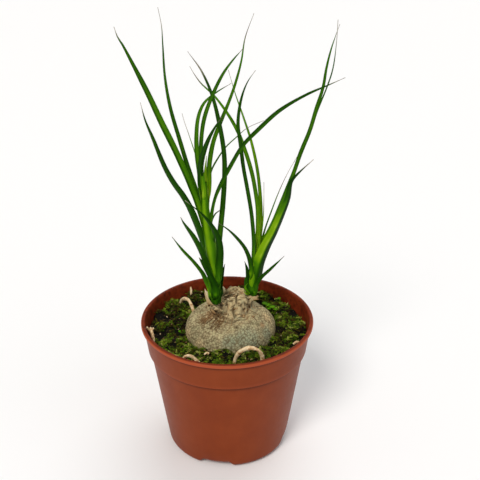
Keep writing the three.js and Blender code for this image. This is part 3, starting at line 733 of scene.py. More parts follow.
# Lumps and pits on the front of the neck: x, z, half-width, half-height, how far out, and the mark and its
# strength. The dark marks in pits are painted shade, and the pale marks on lumps are partly painted
# highlight.
NECK_MARKS = [
    (4.4, 113.7, 1.5, 2, 0.7, "straw_and_highlight", 0.8), (6.3, 114, 0.6, 2.6, -0.9, "pit_shade", 0.85),
    (8.6, 112.2, 1.4, 2.6, 0.8, "straw_and_highlight", 0.9), (8.5, 115.1, 1.3, 1.2, 0.5, "straw_and_highlight", 1),
    (11.3, 111.8, 1.3, 2.8, 0.5, "algae", 0.3), (12, 107.6, 0.9, 1.1, -1.4, "pit_shade", 1),
    (14.8, 109.6, 1.1, 4, -1.4, "pit_shade", 0.75), (-4, 110.7, 2.2, 1, -1.2, "pit_shade", 0.85),
    (-8.3, 106.5, 1.8, 1.2, -1.2, "pit_shade", 1), (-0.5, 112.5, 1.2, 1.5, -1.2, "pit_shade", 0.85),
    (-4.8, 104.1, 4.2, 0.6, -0.5, "pit_shade", 0.65), (-1, 105.8, 1.6, 0.6, -0.4, "pit_shade", 0.55),
    (-4.5, 106.7, 3.4, 0.7, 0.7, "straw_and_highlight", 0.8), (1, 104, 3.4, 0.9, 0.9, "straw_and_highlight", 1.1),
    (8.9, 104.3, 4, 1.1, 0.2, "algae", 0.9), (6.1, 105.5, 0.8, 0.6, -0.8, "pit_shade", 0.8),
    (13.8, 103.5, 0.9, 0.7, -0.2, "rust", 1), (6.6, 101.4, 1.1, 0.5, -0.5, "pit_shade", 0.8),
    (1, 110, 0.8, 3, -0.6, "rust", 0.7), (3, 102.6, 4.5, 0.35, -0.4, "pit_shade", 0.45),
]
# The caudex from its underside, by the crown's edge, to the middle of its crown: (height, radius).
CAUDEX_SIDE = [
    (70.3, 9), (72, 17), (75, 23.5), (79.5, 28.6), (84, 30.6), (88.5, 31), (93, 30.2), (97, 27.8),
    (100.2, 24), (102.4, 19.6), (103.6, 16), (104.8, 13.6), (106.8, 13.2), (109, 13.9), (111, 14.2),
]
CAUDEX_TOP = [(112.2, 13.2), (111.9, 9.5), (110.8, 5)]
CORK = {"cell": 1.9, "crack": 0.28, "dome": 0.22, "lumps": 0.35}
# The neck's folds, tears and grit: where it and its top begin, and how deep each of them is.
NECK = {"from": (101.5, 104.5), "top": (109.5, 111), "fold": 0.9, "tear": 0.7, "grit": 0.3, "upright": 0.8}
FOOT_RINGS = {
    "at": math.radians(262), "start": (12.5, 14), "fade": (16.5, 20), "apart": 3, "height": 0.4,
}
STUMP = {
    "x": 4, "y": 3, "stretch": (1.3, 0.85), "radius": 6.5, "rise": 0.9, "edge": 1.7, "sunk": 2.4,
}
# Marks on the bark: where they are, and how far they reach. The algae, rust and pale patches are the bark's
# own colour, and the dark brown in the stump's hollow is painted shade.
STAINS_AND_PAINTED_LIGHT = {
    "algae": [((14, -25, 95), 13), ((2, -27, 94), 8), ((26, -14, 93), 7), ((19, 3, 104), 6)],
    "rust": [((-12.5, -3, 102), 3.6), ((-10.5, -8, 102), 3), ((-5, -12.5, 102), 2), ((11, -9.2, 104.5), 2.5),
             ((27, -3, 98), 4), ((24, -12, 99), 3), ((10, 4, 116), 4)],
    "straw_and_highlight": [((0.5, -10.5, 104.2), 5), ((-27, -9, 90), 8), ((27, -2, 97), 7), ((-18, -23, 90), 6)],
    "pit_shade": [((-1, 6, 113), 3.4)],
}


def swell(waves, angle):
    return 1 + sum(depth * math.cos(times * (angle - start)) for times, depth, start in waves)


def caudex_skin(height):
    """The caudex's radius at a height, up to the edge of its crown."""
    return np.interp(height, [h for h, r in CAUDEX_SIDE], [r for h, r in CAUDEX_SIDE])


def caudex_reach(x, y, height):
    """How far a place is outside the caudex's skin at a height."""
    angle = math.atan2(y, x - CAUDEX["x"])
    return math.hypot(x - CAUDEX["x"], y) - caudex_skin(height) * swell(CAUDEX["waves"], angle)


def caudex_place(height, radius, angle):
    lean = smoothstep(height, *CAUDEX["neck"])
    r = radius * mix(swell(CAUDEX["waves"], angle), swell(CROWN["waves"], angle), lean)
    sag = lean * CROWN["sag"] * max(0, math.cos(angle - CROWN["sag_at"]))
    x, y = mix(CAUDEX["x"], CROWN["x"], lean) + r * math.cos(angle), mix(0, CROWN["y"], lean)
    # Between the shoots the neck stands up higher, and its front and back are set in.
    lift = smoothstep(height, *CROWN["lift_up"]) * smoothstep(x, *CROWN["lift_from"])
    lift *= 1 - smoothstep(x, *CROWN["lift_to"])
    y += r * math.sin(angle) * mix(1, CROWN["set_back"], lift)
    return Vector((x, y, height - sag + CROWN["lift"] * lift))


def neck_marks(at):
    """How far the lumps and pits of the neck's front bring a place out, and how they colour it: pits get
    painted shade, and pale lumps get a mark that is partly painted highlight.
    """
    raised, marks = 0, dict.fromkeys(STAINS_AND_PAINTED_LIGHT, 0)
    for x, z, wide, high, rise, name, share in NECK_MARKS:
        near = math.exp(-((at.x - x) / wide) ** 2 - ((at.z - z) / high) ** 2)
        raised += rise * near
        marks[name] = max(marks[name], 1.3 * share * near)
    return raised, marks


def foot_rings(at, around):
    """Low rings at the front, where the neck swells into the body: 1 on a ring and -1 between two."""
    away = math.hypot(at.x - CROWN["x"], at.y - CROWN["y"])
    front = smoothstep(math.cos(around - FOOT_RINGS["at"]), 0.1, 0.8)
    shown = front * smoothstep(away, *FOOT_RINGS["start"]) * (1 - smoothstep(away, *FOOT_RINGS["fade"]))
    return shown * math.cos((away + 1.6 * rough(at, 5, 8)) * TURN / FOOT_RINGS["apart"])


def add_caudex(finish):
    rows = [(0, 70)]
    for height, radius in smooth_line(CAUDEX_SIDE + CAUDEX_TOP, 400)[0]:
        step = 2 if height < 85 and radius > 8 else 0.33
        if math.hypot(height - rows[-1][1], radius - rows[-1][0]) >= step:
            rows.append((radius, height))
    rows.append((0, 110.6))
    shape = spun(rows, CAUDEX["steps"])
    layers = marked(shape, "crack", "algae", "rust", "straw_and_highlight", "pit_shade")
    shape.normal_update()
    for point in shape.verts:
        angle = math.atan2(point.co.y, point.co.x)
        height = point.co.z
        at = caudex_place(height, math.hypot(point.co.x, point.co.y), angle)
        out = point.normal.copy()
        neck, top = smoothstep(height, *NECK["from"]), smoothstep(height, *NECK["top"])
        # Domed plates of cork with cracks between them, which are weaker on the neck, and broad lumps.
        cork = 1 - 0.7 * smoothstep(height, 101, 105)
        near, next_near = noise.voronoi(at / CORK["cell"])[0][:2]
        crack = 1 - smoothstep(next_near - near, 0.02, 0.24)
        relief = CORK["dome"] * (0.6 - near) * cork - CORK["crack"] * crack * cork
        relief += CORK["lumps"] * rough(at, 12, 1) * smoothstep(height, 86, 90)
        # On top is the old stump: a folded, torn bowl with a swollen edge.
        right, behind = at.x - STUMP["x"], at.y - STUMP["y"]
        from_stump = math.hypot(right / STUMP["stretch"][0], behind / STUMP["stretch"][1])
        turned = Vector((from_stump * 2.2, 3 * math.atan2(behind, right), at.z * 0.5))
        folds, torn = rough(turned, 2.6, 4), rough(turned, 1.1, 5)
        ridge = math.exp(-((from_stump - STUMP["radius"]) / STUMP["edge"]) ** 2)
        bowl = 1 - smoothstep(from_stump, 0.3 * STUMP["radius"], 0.95 * STUMP["radius"])
        creased = NECK["fold"] * folds * top + NECK["tear"] * torn * top
        relief += neck * (creased + NECK["grit"] * rough(at, 0.8, 5))
        # Upright folds round the neck, and the rings at its foot.
        around = math.atan2(at.y - CROWN["y"], at.x - CROWN["x"])
        upright = rough((around * 4.6, height * 0.3, 3), 1, 4) * smoothstep(height, 103.6, 105.4) * (1 - top)
        rings = foot_rings(at, around)
        relief += NECK["upright"] * upright + FOOT_RINGS["height"] * rings
        marks = dict.fromkeys(STAINS_AND_PAINTED_LIGHT, 0)
        if height > 99 and at.y < CROWN["y"] - 3:
            raised, marks = neck_marks(at)
            relief += raised
        at.z += top * (STUMP["rise"] * ridge - STUMP["sunk"] * bowl)
        point.co = at + out * relief
        # What the material reads: the cracks, with painted shade also in the creases, in the stump's bowl
        # and between the rings; painted highlights on the raised folds, ridge and ring crests; and the
        # stained patches with their ragged edges.
        groove = max(top * smoothstep(-folds - 0.4 * torn, 0.1, 0.6), smoothstep(-upright, 0.1, 0.45))
        between_rings = 0.8 * smoothstep(-rings, 0.2, 0.8)
        point[layers["crack"]] = max(crack * cork, groove, 0.5 * top * bowl, between_rings)
        ragged = 1 + 0.5 * rough(at, 2.5, 6) + 0.4 * rough(at, 1, 7)
        # Painted shade in streaks along the torn creases of the neck.
        streak = 0.8 * neck * smoothstep(-torn - 0.3 * folds, 0.08, 0.42)
        marks["rust"] = max(marks["rust"], 0.9 * neck * smoothstep(rough(at, 2.2, 11), 0.05, 0.45))
        marks["pit_shade"] = max(marks["pit_shade"], 0.75 * groove, 0.35 * top * bowl, streak)
        # Paler over the neck, with painted highlight on the raised folds, tears, ridge, upright folds and
        # ring crests.
        straw_and_highlight = neck * (0.25 + 0.6 * folds + 0.6 * torn + 0.4 * top * ridge)
        straw_and_highlight += 0.7 * upright + 0.6 * max(0, rings)
        for name, spots in STAINS_AND_PAINTED_LIGHT.items():
            depth = marks[name] * ragged
            for centre, reach in spots:
                spot = 1 - smoothstep((at - Vector(centre)).length, 0.3 * reach, reach)
                depth = max(depth, spot * ragged)
            point[layers[name]] = min(1, max(depth, straw_and_highlight) if name == "straw_and_highlight" else depth)
    add_piece("caudex_body", shape, finish, ["caudex"])


def add_plate(shape, layers, foot, rise, out, length, width, thick, tone, seed):
    """A dried leaf base: a curved ragged plate that stands on its foot and tapers to a torn tip."""
    along = Vector((-out.y, out.x, 0))
    grid = bmesh.ops.create_grid(shape, x_segments=6, y_segments=9, size=0.5)["verts"]
    sheet = {face for point in grid for face in point.link_faces}
    for point in grid:
        u, v = 2 * point.co.x, point.co.y + 0.5
        half = width / 2 * (1 - 0.65 * v**3) * (1 + 0.25 * rough((u, v * 3, 0), 0.5, seed)) + 0.15
        curl = -0.8 * v * v - 0.5 * u * u + 0.3 * rough((u, v * 2, 5), 0.6, seed)
        at = foot + rise * length * v * (1 - 0.22 * abs(u) + 0.22 * rough((u * 3, 0, 0), 0.5, seed))
        point.co = at + along * half * u + out * curl
        point[layers["down"]] = -out * mix(thick, 0.3 * thick, v)
        # Painted shade: each plate is darker towards its foot.
        point[layers["tone"]] = clamp(tone + 0.3 * rough((u * 3, v, 0), 0.5, seed) + 0.5 * v - 0.3)
    thicken(shape, sheet, layers["down"])


def add_crown(finish):
    """The dried leaf bases round the crown's edge, torn scraps of others, and the larger scales."""
    shape = bmesh.new()
    layers = marked(shape, "tone")
    layers["down"] = shape.verts.layers.float_vector.new("down")
    draw = drawn(7)
    for i in range(CROWN["flakes"]):
        angle = (i + 0.5 * next(draw)) * TURN / CROWN["flakes"]
        lean = mix(*CROWN["flake_lean"], next(draw))
        length = mix(*CROWN["flake_length"], next(draw))
        width = mix(*CROWN["flake_width"], next(draw))
        out = toward(angle)
        rise = Vector((0, 0, math.cos(lean))) + out * math.sin(lean)
        foot = caudex_place(111, 12, angle) - Vector((0, 0, 1))
        if math.cos(angle - FOOT_RINGS["at"]) < 0.55:  # the front of the edge is bare
            add_plate(shape, layers, foot, rise, out, length, width, 0.45, 0.35 + 0.3 * math.sin(5 * i), i)
    small = random.Random(31)
    for i in range(CROWN["scraps"]):  # on the old stump between the shoots
        angle, far = small.uniform(0, TURN), 11 * math.sqrt(small.random())
        out = toward(angle)
        foot = caudex_place(111.4, far, angle) - Vector((0, 0, 1.2))
        way = Vector((-out.y, out.x, 0)) * small.choice((-1, 1)) + out * small.uniform(-0.5, 0.8)
        rise = (way + Vector((0, 0, small.uniform(0.15, 0.7)))).normalized()
        add_plate(shape, layers, foot, rise, out, small.uniform(2, 5), small.uniform(0.9, 2.2),
                  0.35, small.uniform(0.1, 0.8), 120 + i)
    for i in range(CROWN["scraps"]):  # on the neck
        angle = small.uniform(0, TURN)
        height = small.uniform(102.5, 110)
        out = toward(angle)
        skin = caudex_place(height, caudex_skin(height), angle)
        lean = small.uniform(0.05, 0.5)
        rise = Vector((0, 0, math.cos(lean))) + out * math.sin(lean)
        add_plate(shape, layers, skin - out * 0.5, rise, out, small.uniform(1.2, 3), small.uniform(1, 2.4),
                  0.35, small.uniform(0.1, 0.5), 40 + i)
    for foot, tip, width, tone, faces in SCALES:
        rise = Vector(tip) - Vector(foot)
        out = toward(math.radians(faces))
        add_plate(shape, layers, Vector(foot), rise.normalized(), out, rise.length, width, 0.4, tone, 9)
    bmesh.ops.recalc_face_normals(shape, faces=shape.faces)
    shape.verts.layers.float_vector.remove(layers["down"])
    add_piece("crown_scales", shape, finish)


def add_fibres(finish):
    """Torn brown fibres that hang from the neck over the shoulder of the caudex."""
    draw = random.Random(77)
    shape = bmesh.new()
    tone = marked(shape, "tone")["tone"]
    for i in range(FIBRES["count"]):
        angle = math.radians(draw.gauss(*FIBRES["where"])) if i % 7 else draw.uniform(0, TURN)
        height = draw.uniform(*FIBRES["height"])
        fall, drift = draw.uniform(0.3, 0.9), draw.uniform(-0.03, 0.03)
        shade = draw.uniform(0, 0.5)
        line = []
        for step in range(7):
            height -= fall * (0.5 + 0.5 * (height > 101))
            angle += drift + draw.uniform(-0.03, 0.03)
            radius = caudex_skin(height) + draw.uniform(0.1, 0.5) + 0.4 * math.sin(step)
            line.append(caudex_place(height, radius, angle))
        line = smooth_line(line, 13)[0]
        before = len(shape.verts)
        add_tube(shape, line, 5, lambda share, turn: mix(0.2, 0.07, share))
        shape.verts.ensure_lookup_table()
        for point in shape.verts[before:]:
            point[tone] = shade
    close_up(shape)
    add_piece("neck_fibres", shape, finish)


# ---- the shoots --------------------------------------------------------------------------------------

# A leaf has its width, the azimuths that its upper face looks to at its base and its tip, how light and how
# dry at the tip it is, how late it tapers, and its route. Then, where they aren't the usual ones, how far
# its face looks up and how much lighter one half of it is, as painted light on the lit half of its fold. The
# youngest leaf comes first.
Leaf = namedtuple("Leaf", "width faces tone dry taper route up half_lit", defaults=(0.8, 0))

LEFT_STEM = [
    (-7.6, 108.5, -4), (-7.8, 118, -4), (-8.6, 134, -4), (-10.6, 152, -3), (-12.8, 170, -1), (-14, 186, 0),
    (-13.6, 200, 0),
]
LEFT_RADII = (3.9, 4, 4.1, 3.8, 3.1, 2.3, 1.2)
LEFT_BUDS = [
    Leaf(2.6, (60, 60), 0.4, 0, 2.2, [
        (-10.5, 111, -6), (-11.6, 119, -7), (-12.4, 126, -7.5), (-13.6, 130, -8)]),
]
LEFT_LEAVES = [
    Leaf(3.2, (-80, -80), 0.75, 0, 2.2, [
        (-13.4, 186, 0), (-13.2, 198, 0.5), (-13.4, 208, 1), (-12.4, 218, 1)]),
    Leaf(3.7, (-110, -80), 0.38, 0.12, 1.5, [
        (-12.4, 180, 1.5), (-11, 200, 2), (-10.6, 212, 2), (-8, 227, 3), (-4, 238.6, 4), (2, 253.7, 6),
        (6.2, 266, 8), (9.8, 280, 10), (11.9, 293.5, 12), (17.2, 308.5, 14)]),
    Leaf(2.3, (-120, -120), 0.42, 0.2, 0.9, [
        (-12, 176, 3.5), (-10.9, 198, 5.5), (-9.4, 208, 7.5), (-4.5, 217.5, 11), (0.3, 224.5, 15),
        (7, 231, 20), (13, 236.5, 26), (23.7, 241.7, 36)]),
    Leaf(2.7, (-60, -90), 0.3, 0.01, 4.6, [
        (-14.6, 184, -1.5), (-15.8, 205, -3.5), (-16.2, 219, -5), (-15.4, 232.5, -7), (-13.4, 243.6, -9),
        (-8.6, 257, -13), (-1.5, 271.5, -19), (4.5, 280, -24), (10.5, 287, -30)]),
    Leaf(3.3, (-80, -80), 0.36, 0.06, 2.6, [
        (-15.4, 182, 1.5), (-17.2, 205, 1.5), (-18.5, 218, 3), (-18.7, 231, 6), (-17.3, 243.6, 11),
        (-13.8, 252.5, 17), (-7, 259, 25), (3.5, 265.7, 36)]),
    Leaf(4.2, (80, 80), 0.03, 0.02, 3, [
        (-14.6, 176, 2.5), (-15.8, 189, 2), (-16.9, 199, -1), (-16.7, 209, -6), (-15.3, 217, -12),
        (-12, 227, -16), (-7.3, 236.5, -21), (-2.5, 244, -26)], up=0.1),
    Leaf(1.6, (-60, -60), 0.6, 0.2, 1.3, [
        (-14.8, 178, 3), (-16.9, 203, 5), (-19, 216.5, 7), (-22.7, 230, 10), (-26.3, 242, 14),
        (-27.3, 246.5, 16)]),
    Leaf(4.2, (-50, -75), 0.24, 0.08, 1.5, [
        (-12.6, 158, 1.5), (-16.6, 180, 5), (-20.4, 195, 9), (-24.7, 210, 15), (-29.8, 230, 23),
        (-34.6, 250, 31), (-37.2, 270, 40), (-37.7, 290, 49), (-38, 301, 54), (-39.8, 312, 58)]),
    Leaf(4.8, (-40, -70), 0.28, 0.02, 4.5, [
        (-11.6, 146, -1), (-15.4, 168, -1), (-19.5, 185, 0), (-24.5, 200, 2), (-32, 220, 5), (-40.6, 240, 8),
        (-48.7, 260, 11), (-57.6, 280, 14), (-62, 289.5, 15), (-64.8, 294.5, 16),
        (-66.5, 300.5, 17)], half_lit=0.15),
    Leaf(3.3, (-150, -85), 0.1, 0.03, 3.8, [
        (-10.6, 156, -2), (-9.4, 174, -3), (-7.2, 187.5, -5), (-2.8, 199, -8), (3.7, 212, -11),
        (11, 225, -14), (20.8, 235.8, -17), (33.5, 248, -20), (50, 258.4, -24), (64.3, 265, -27),
        (73.5, 269.3, -29)], half_lit=0.2),
    Leaf(3.5, (100, 85), 0.12, 0.1, 3.2, [
        (-7.5, 142, -1), (-5, 157, 1), (-3.5, 171, 2.5), (-2.1, 186, 4), (-1, 205, 4.5), (-1.3, 220, 2.5),
        (-4.2, 240, -1), (-8.4, 258, -5), (-14.5, 273, -10), (-22.8, 285.5, -16)], up=0.1),
    Leaf(1.8, (-140, -140), 0.2, 0.3, 2.2, [
        (-10.4, 162, 2), (-9.6, 171, 4), (-7.4, 177, 7), (-4.4, 179.6, 11), (-0.7, 181.6, 16)]),
    Leaf(5.4, (95, 60), 0.05, 0.03, 2.4, [
        (-6.4, 122, -6.5), (-5.2, 138, -8.5), (-4.6, 149, -10.5), (-6, 159, -13), (-10, 168, -16.5),
        (-16, 176.5, -21), (-22, 182.5, -25.5), (-27, 187, -29)]),
    Leaf(5.7, (60, 85), 0.08, 0.03, 2.4, [
        (-10.3, 130, -4), (-13.4, 144.5, -3), (-17.2, 160, 0), (-23.8, 180, 6), (-28.6, 190, 9),
        (-34, 198.5, 12), (-39.6, 210, 16), (-46.4, 230, 23), (-50.6, 242, 27), (-53, 253.5, 30)], up=0.1),
    Leaf(4.8, (70, 80), 0.15, 0.02, 3.5, [
        (-10.2, 124, -6.5), (-13.6, 138, -8.5), (-17.7, 150, -11.5), (-22.2, 160, -15), (-28.4, 170.5, -19),
        (-30.4, 175, -21)], up=0.2),
    Leaf(4.6, (80, 75), 0.05, 0.02, 6, [
        (-7.2, 112, -7), (-7.8, 119, -8.5), (-9.6, 125, -10), (-12, 131, -11.5), (-15.5, 138.5, -14),
        (-18.8, 145, -16)], up=0.2),
    Leaf(3, (230, 240), 0.08, 0.02, 4, [
        (-5.6, 114, -3), (-3.7, 125, -2.5), (-2.5, 134, -1.5), (-1.3, 140, -0.5)], up=0.3),
    Leaf(4.6, (50, 60), 0.3, 0.03, 3, [
        (-11.2, 111.5, -3), (-13.4, 119.7, -3), (-14.9, 126.4, -3), (-16.6, 131.5, -3), (-22, 140, -4),
        (-29.8, 150, -7), (-36.5, 160.5, -10)], up=0),
]
RIGHT_STEM = [
    (16.6, 112, 6), (17, 119, 6), (17.8, 130, 6), (19.2, 141, 6), (20.6, 152, 6), (21.8, 162, 6),
]
RIGHT_RADII = (1.5, 3.1, 3.7, 3.7, 3.7, 3.4, 3.2, 2.7, 2.3, 1.7, 1.1)
RIGHT_BUDS = [
    Leaf(3.4, (60, 100), 0.5, 0, 2.2, [
        (16.1, 114, 3), (13.4, 118.1, 1.5), (12.5, 122.1, 1), (14, 125, 1)]),
    Leaf(3, (30, 80), 0.65, 0, 2.2, [
        (16.5, 113.4, 2.5), (13.8, 115.7, 0.5), (11.4, 119, -0.5)]),
]
RIGHT_LEAVES = [
    Leaf(1.8, (-90, -90), 0.65, 0.35, 0.8, [
        (21.4, 148, 7), (22.8, 160, 8), (24.2, 174, 9), (24.5, 188, 10), (24.4, 200, 11)]),
    Leaf(2.6, (-90, -70), 0.56, 0.05, 2.4, [
        (20.4, 146, 7), (21.2, 156, 9), (22.6, 172, 13), (22.1, 189, 17), (20, 208.5, 22), (15.8, 228.5, 27),
        (11.3, 243, 30), (5.8, 259.6, 33), (1.7, 274.3, 35)]),
    Leaf(3.1, (-70, -60), 0.46, 0.08, 3.6, [
        (19.2, 143, 5), (20.2, 156, 5), (20.6, 170, 5.5), (20.3, 181, 6), (18.8, 193, 6), (16.4, 206, 7),
        (12.8, 219, 9), (7.9, 233, 12), (1.8, 244.8, 16), (-7.4, 258, 22), (-15.5, 266, 27),
        (-19.9, 272.8, 30), (-21.8, 276.5, 32)]),
    Leaf(3.1, (-130, -115), 0.3, 0.02, 4, [
        (20.2, 142, 7), (26, 158, 8.5), (32.3, 174, 10), (38.3, 191, 13), (43.6, 206, 16), (47.6, 220, 19),
        (53, 235, 22), (56.8, 250.3, 25), (60.2, 263, 28), (61.7, 275, 31), (64.3, 288, 34),
        (68.5, 302, 37)]),
    Leaf(2.9, (-160, -150), 0.2, 0.08, 2, [
        (20.6, 143, 9), (27, 160, 12), (33.2, 176, 16), (38.9, 190.5, 20), (44, 205, 25), (48.6, 220, 30),
        (53.8, 235, 35), (57.2, 248, 40), (62.2, 262, 46), (65.6, 274.4, 51), (67, 290, 57),
        (67.3, 304.7, 62)]),
    Leaf(2.6, (-110, -110), 0.45, 0.35, 0.6, [
        (19.6, 139, 9.5), (22.4, 152, 13), (25.5, 166, 18), (29.5, 179, 23), (34, 192.5, 28),
        (39.5, 206, 34), (46, 218.7, 40)]),
    Leaf(2.6, (110, 85), 0.1, 0.01, 5.5, [
        (17.8, 134, 4), (18.5, 147, 2), (18, 161, 0.5), (16.4, 178, -1.5), (13.7, 195, -3), (11.1, 210, -5),
        (9.3, 225, -6), (7.7, 238, -7), (8.3, 248, -8), (10.6, 259, -10), (13.8, 267, -12),
        (18.4, 273.8, -14)]),
    Leaf(11, (110, 110), -0.05, 0.05, 1.3, [
        (17.7, 114.5, 4), (18.3, 120.5, 3.5), (19.6, 127.6, 3.2), (21.8, 139, 2.5), (26.1, 151.5, 0.5),
        (31.5, 163.5, -2), (36.2, 176, -5), (40.2, 188, -8), (42.2, 200, -11), (46, 205.3, -13),
        (56, 215.6, -17)], up=0.1, half_lit=0.8),
    Leaf(3.2, (110, 95), 0.12, 0.03, 2.6, [
        (16.6, 127, 3), (16.4, 137, 1), (15.2, 144, -1), (12.3, 151.5, -4), (7.6, 158.3, -8),
        (1.4, 165.3, -13), (-5.5, 170.8, -18)]),
    Leaf(3.4, (70, 60), 0, 0.02, 5, [
        (15.4, 116, 5), (14.3, 127, 4), (13.5, 136, 3.5), (12, 142, 3)], up=0.2),
    Leaf(4.4, (115, 105), 0.16, 0.06, 1.8, [
        (17.4, 114, 4.5), (19.8, 122.5, 3), (23, 128.4, 1.5), (29, 135, -1), (34, 140.6, -3),
        (38.8, 146, -5)], up=0.1),
]
SHOOTS = {
    "left": (LEFT_STEM, LEFT_RADII, LEFT_LEAVES, LEFT_BUDS),
    "right": (RIGHT_STEM, RIGHT_RADII, RIGHT_LEAVES, RIGHT_BUDS),
}
EYE = Vector(CAMERA["eye"])  # the routes are given as they look from here
BLADE = {
    "tip_width": 0.28,
    "fold": 0.42,
    "keel": 0.22,  # how round the bottom of the channel is, as a share of half the width
    "clasp": 0.95,
    "clasp_length": 15,
    "side_at": 12,  # this far along, a leaf's place round the stem is taken
    "high": 12,  # a leaf that starts this far up the stem comes out as a point between its neighbours
    "sheath_spread": 0.35,
    "sheath_end": 0.25,
    "thickness": (0.42, 0.2),  # at the middle and at the edges
    "across": 10,
    "ring": 3,
}


def seen_at(point):
    """A place from [right, up, depth]: right and up on the upright sheet through the pot's axis."""
    right, up, depth = point
    return EYE + (Vector((right, 0, up)) - EYE) * (depth - EYE.y) / -EYE.y


def blade_width(leaf, share):
    sheath = 1 + BLADE["sheath_spread"] * (1 - smoothstep(share, 0, BLADE["sheath_end"]))
    return max(BLADE["tip_width"], leaf.width * sheath * (1 - share ** leaf.taper))


def stem_at(stem, height):
    """The middle and the radius of a shoot's stem at a height."""
    line, radii = stem
    x, y = (np.interp(height, line[:, 2], line[:, axis]) for axis in (0, 1))
    share = np.interp(height, line[:, 2], np.linspace(0, 1, len(line)))
    return Vector((x, y, height)), np.interp(share, np.linspace(0, 1, len(radii)), radii)


def add_blade(name, leaf, finish, nodes, seed, stem):
    """A long channelled strap that clasps the shoot's stem at its base."""
    route = [seen_at(point) for point in leaf.route]
    rings = max(16, round(smooth_line(route, 2)[2] / BLADE["ring"]))
    line, along, length = smooth_line(route, rings + 1)
    ups = []
    for i, forward in enumerate(along):
        azimuth = math.radians(mix(*leaf.faces, i / rings))
        up = np.array((math.cos(azimuth), math.sin(azimuth), leaf.up))
        ups.append(Vector(up - forward * up.dot(forward)).normalized())
    # Where round the stem the strap sits, and how it has to be bent round the stem there.
    leaves_at = round(min(1, BLADE["side_at"] / length) * rings)
    middle = stem_at(stem, line[leaves_at][2])[0]
    sits_at = math.atan2(line[leaves_at][1] - middle.y, line[leaves_at][0] - middle.x)
    faces_in = 1 if ups[leaves_at].dot(toward(sits_at)) < 0 else -1
    starts_high = line[0][2] > stem[0][0][2] + BLADE["high"]
    keel = BLADE["keel"]
    shape = bmesh.new()
    down = shape.verts.layers.float_vector.new("down")
    layers = marked(shape, "tone", "dry", "sideways")
    grid = bmesh.ops.create_grid(shape, x_segments=BLADE["across"], y_segments=rings, size=0.5)["verts"]
    for point in grid:
        u, t = 2 * point.co.x, point.co.y + 0.5
        run = t * length
        i = round(t * rings)
        up = ups[i]
        across = Vector(along[i]).cross(up)
        dry = 0
        if leaf.dry:
            dry = smoothstep(t, 1 - 1.25 * leaf.dry - 0.04, 1 - 0.75 * leaf.dry + 0.01)
        half = blade_width(leaf, t) / 2 * (1 + 0.06 * rough((run, seed, 0), 18))
        half *= math.sqrt(smoothstep(run, -1, 14)) if starts_high else mix(0.5, 1, smoothstep(run, 0, 8))
        fold = mix(BLADE["clasp"], BLADE["fold"], smoothstep(t, 0, 0.22)) + 0.5 * dry
        channel = (math.hypot(u, keel) - keel) / (math.hypot(1, keel) - keel)
        wave = 0.25 * rough((run, seed, 4), 14) * smoothstep(t, 0.1, 0.3) * (1 - dry)
        free = Vector(line[i]) + across * half * u + up * (half * fold * channel + wave * u)
        # Next to the stem it is bent round it, and its foot comes out from under an older leaf.
        middle, radius = stem_at(stem, line[i][2])
        hold = 1 - smoothstep(run, 2, min(BLADE["clasp_length"], 0.6 * length))
        around = radius + mix(-0.5, 0.3 + 0.05 * seed, smoothstep(run, 0, 8 if starts_high else 4))
        side = toward(sits_at - faces_in * u * 1.3 * half / around)
        point.co = free.lerp(middle + side * around, hold)
        thick = mix(*BLADE["thickness"], u * u) * (1 - 0.5 * t)
        point[down] = -thick * up.lerp(-faces_in * side, hold).normalized()
        base = 0.4 * (1 - smoothstep(t, 0, 0.35)) * smoothstep(run, 1, 7)
        # Painted light: one half of the folded strap is lighter, as if lit, and the other as if in shade.
        lit = leaf.half_lit * smoothstep(faces_in * u, -0.15, 0.15) * (1 - smoothstep(t, 0.5, 0.85))
        lit *= smoothstep(run, 14, 36)
        stripe = 0.1 * (1 - smoothstep(abs(u), 0.15, 0.6))
        pale = 0.55 * hold * rough(point.co, 1.6, seed)
        fleck = 0.06 * rough((run, u * 2, seed), 20)
        point[layers["tone"]] = leaf.tone + base + lit + stripe + pale + fleck
        point[layers["dry"]] = dry
        point[layers["sideways"]] = u * leaf.width / 2
    thicken(shape, shape.faces, down)
    bmesh.ops.recalc_face_normals(shape, faces=shape.faces)
    shape.verts.layers.float_vector.remove(down)
    add_piece(name, shape, finish, nodes)


def add_stem(name, route, radii, finish, nodes):
    """The rolled bundle of young leaf bases: its edges lap round it as low steps."""
    line = smooth_line([seen_at(point) for point in route], 60)[0]
    last = len(line) - 1
    shape = bmesh.new()

    def reach(share, angle):
        radius = np.interp(share, np.linspace(0, 1, len(radii)), radii)
        lap = (2.5 * angle / TURN + 0.7 * share) % 1
        foot = math.sqrt(max(0, 1 - max(0, 1 - share / 0.035) ** 2))
        return radius * (0.93 + 0.09 * lap) * foot

    add_tube(shape, line, 48, reach)
    close_up(shape)
    layers = marked(shape, "tone", "sideways")
    for point in shape.verts:
        nearest = int(np.argmin(np.linalg.norm(line - np.array(point.co), axis=1)))
        share = nearest / last
        out = np.array(point.co) - line[nearest]
        angle = math.atan2(out[1], out[0])
        point[layers["sideways"]] = angle * 4
        foot = 1 - smoothstep(share, 0.12, 0.3)
        bright = 0.59 + 0.14 * math.sin(3 * angle + 1)
        point[layers["tone"]] = mix(bright, 0.22 + 0.5 * rough(point.co, 2, 8), foot)
    add_piece(name, shape, finish, nodes)
    return line, radii


# ---- the roots ---------------------------------------------------------------------------------------

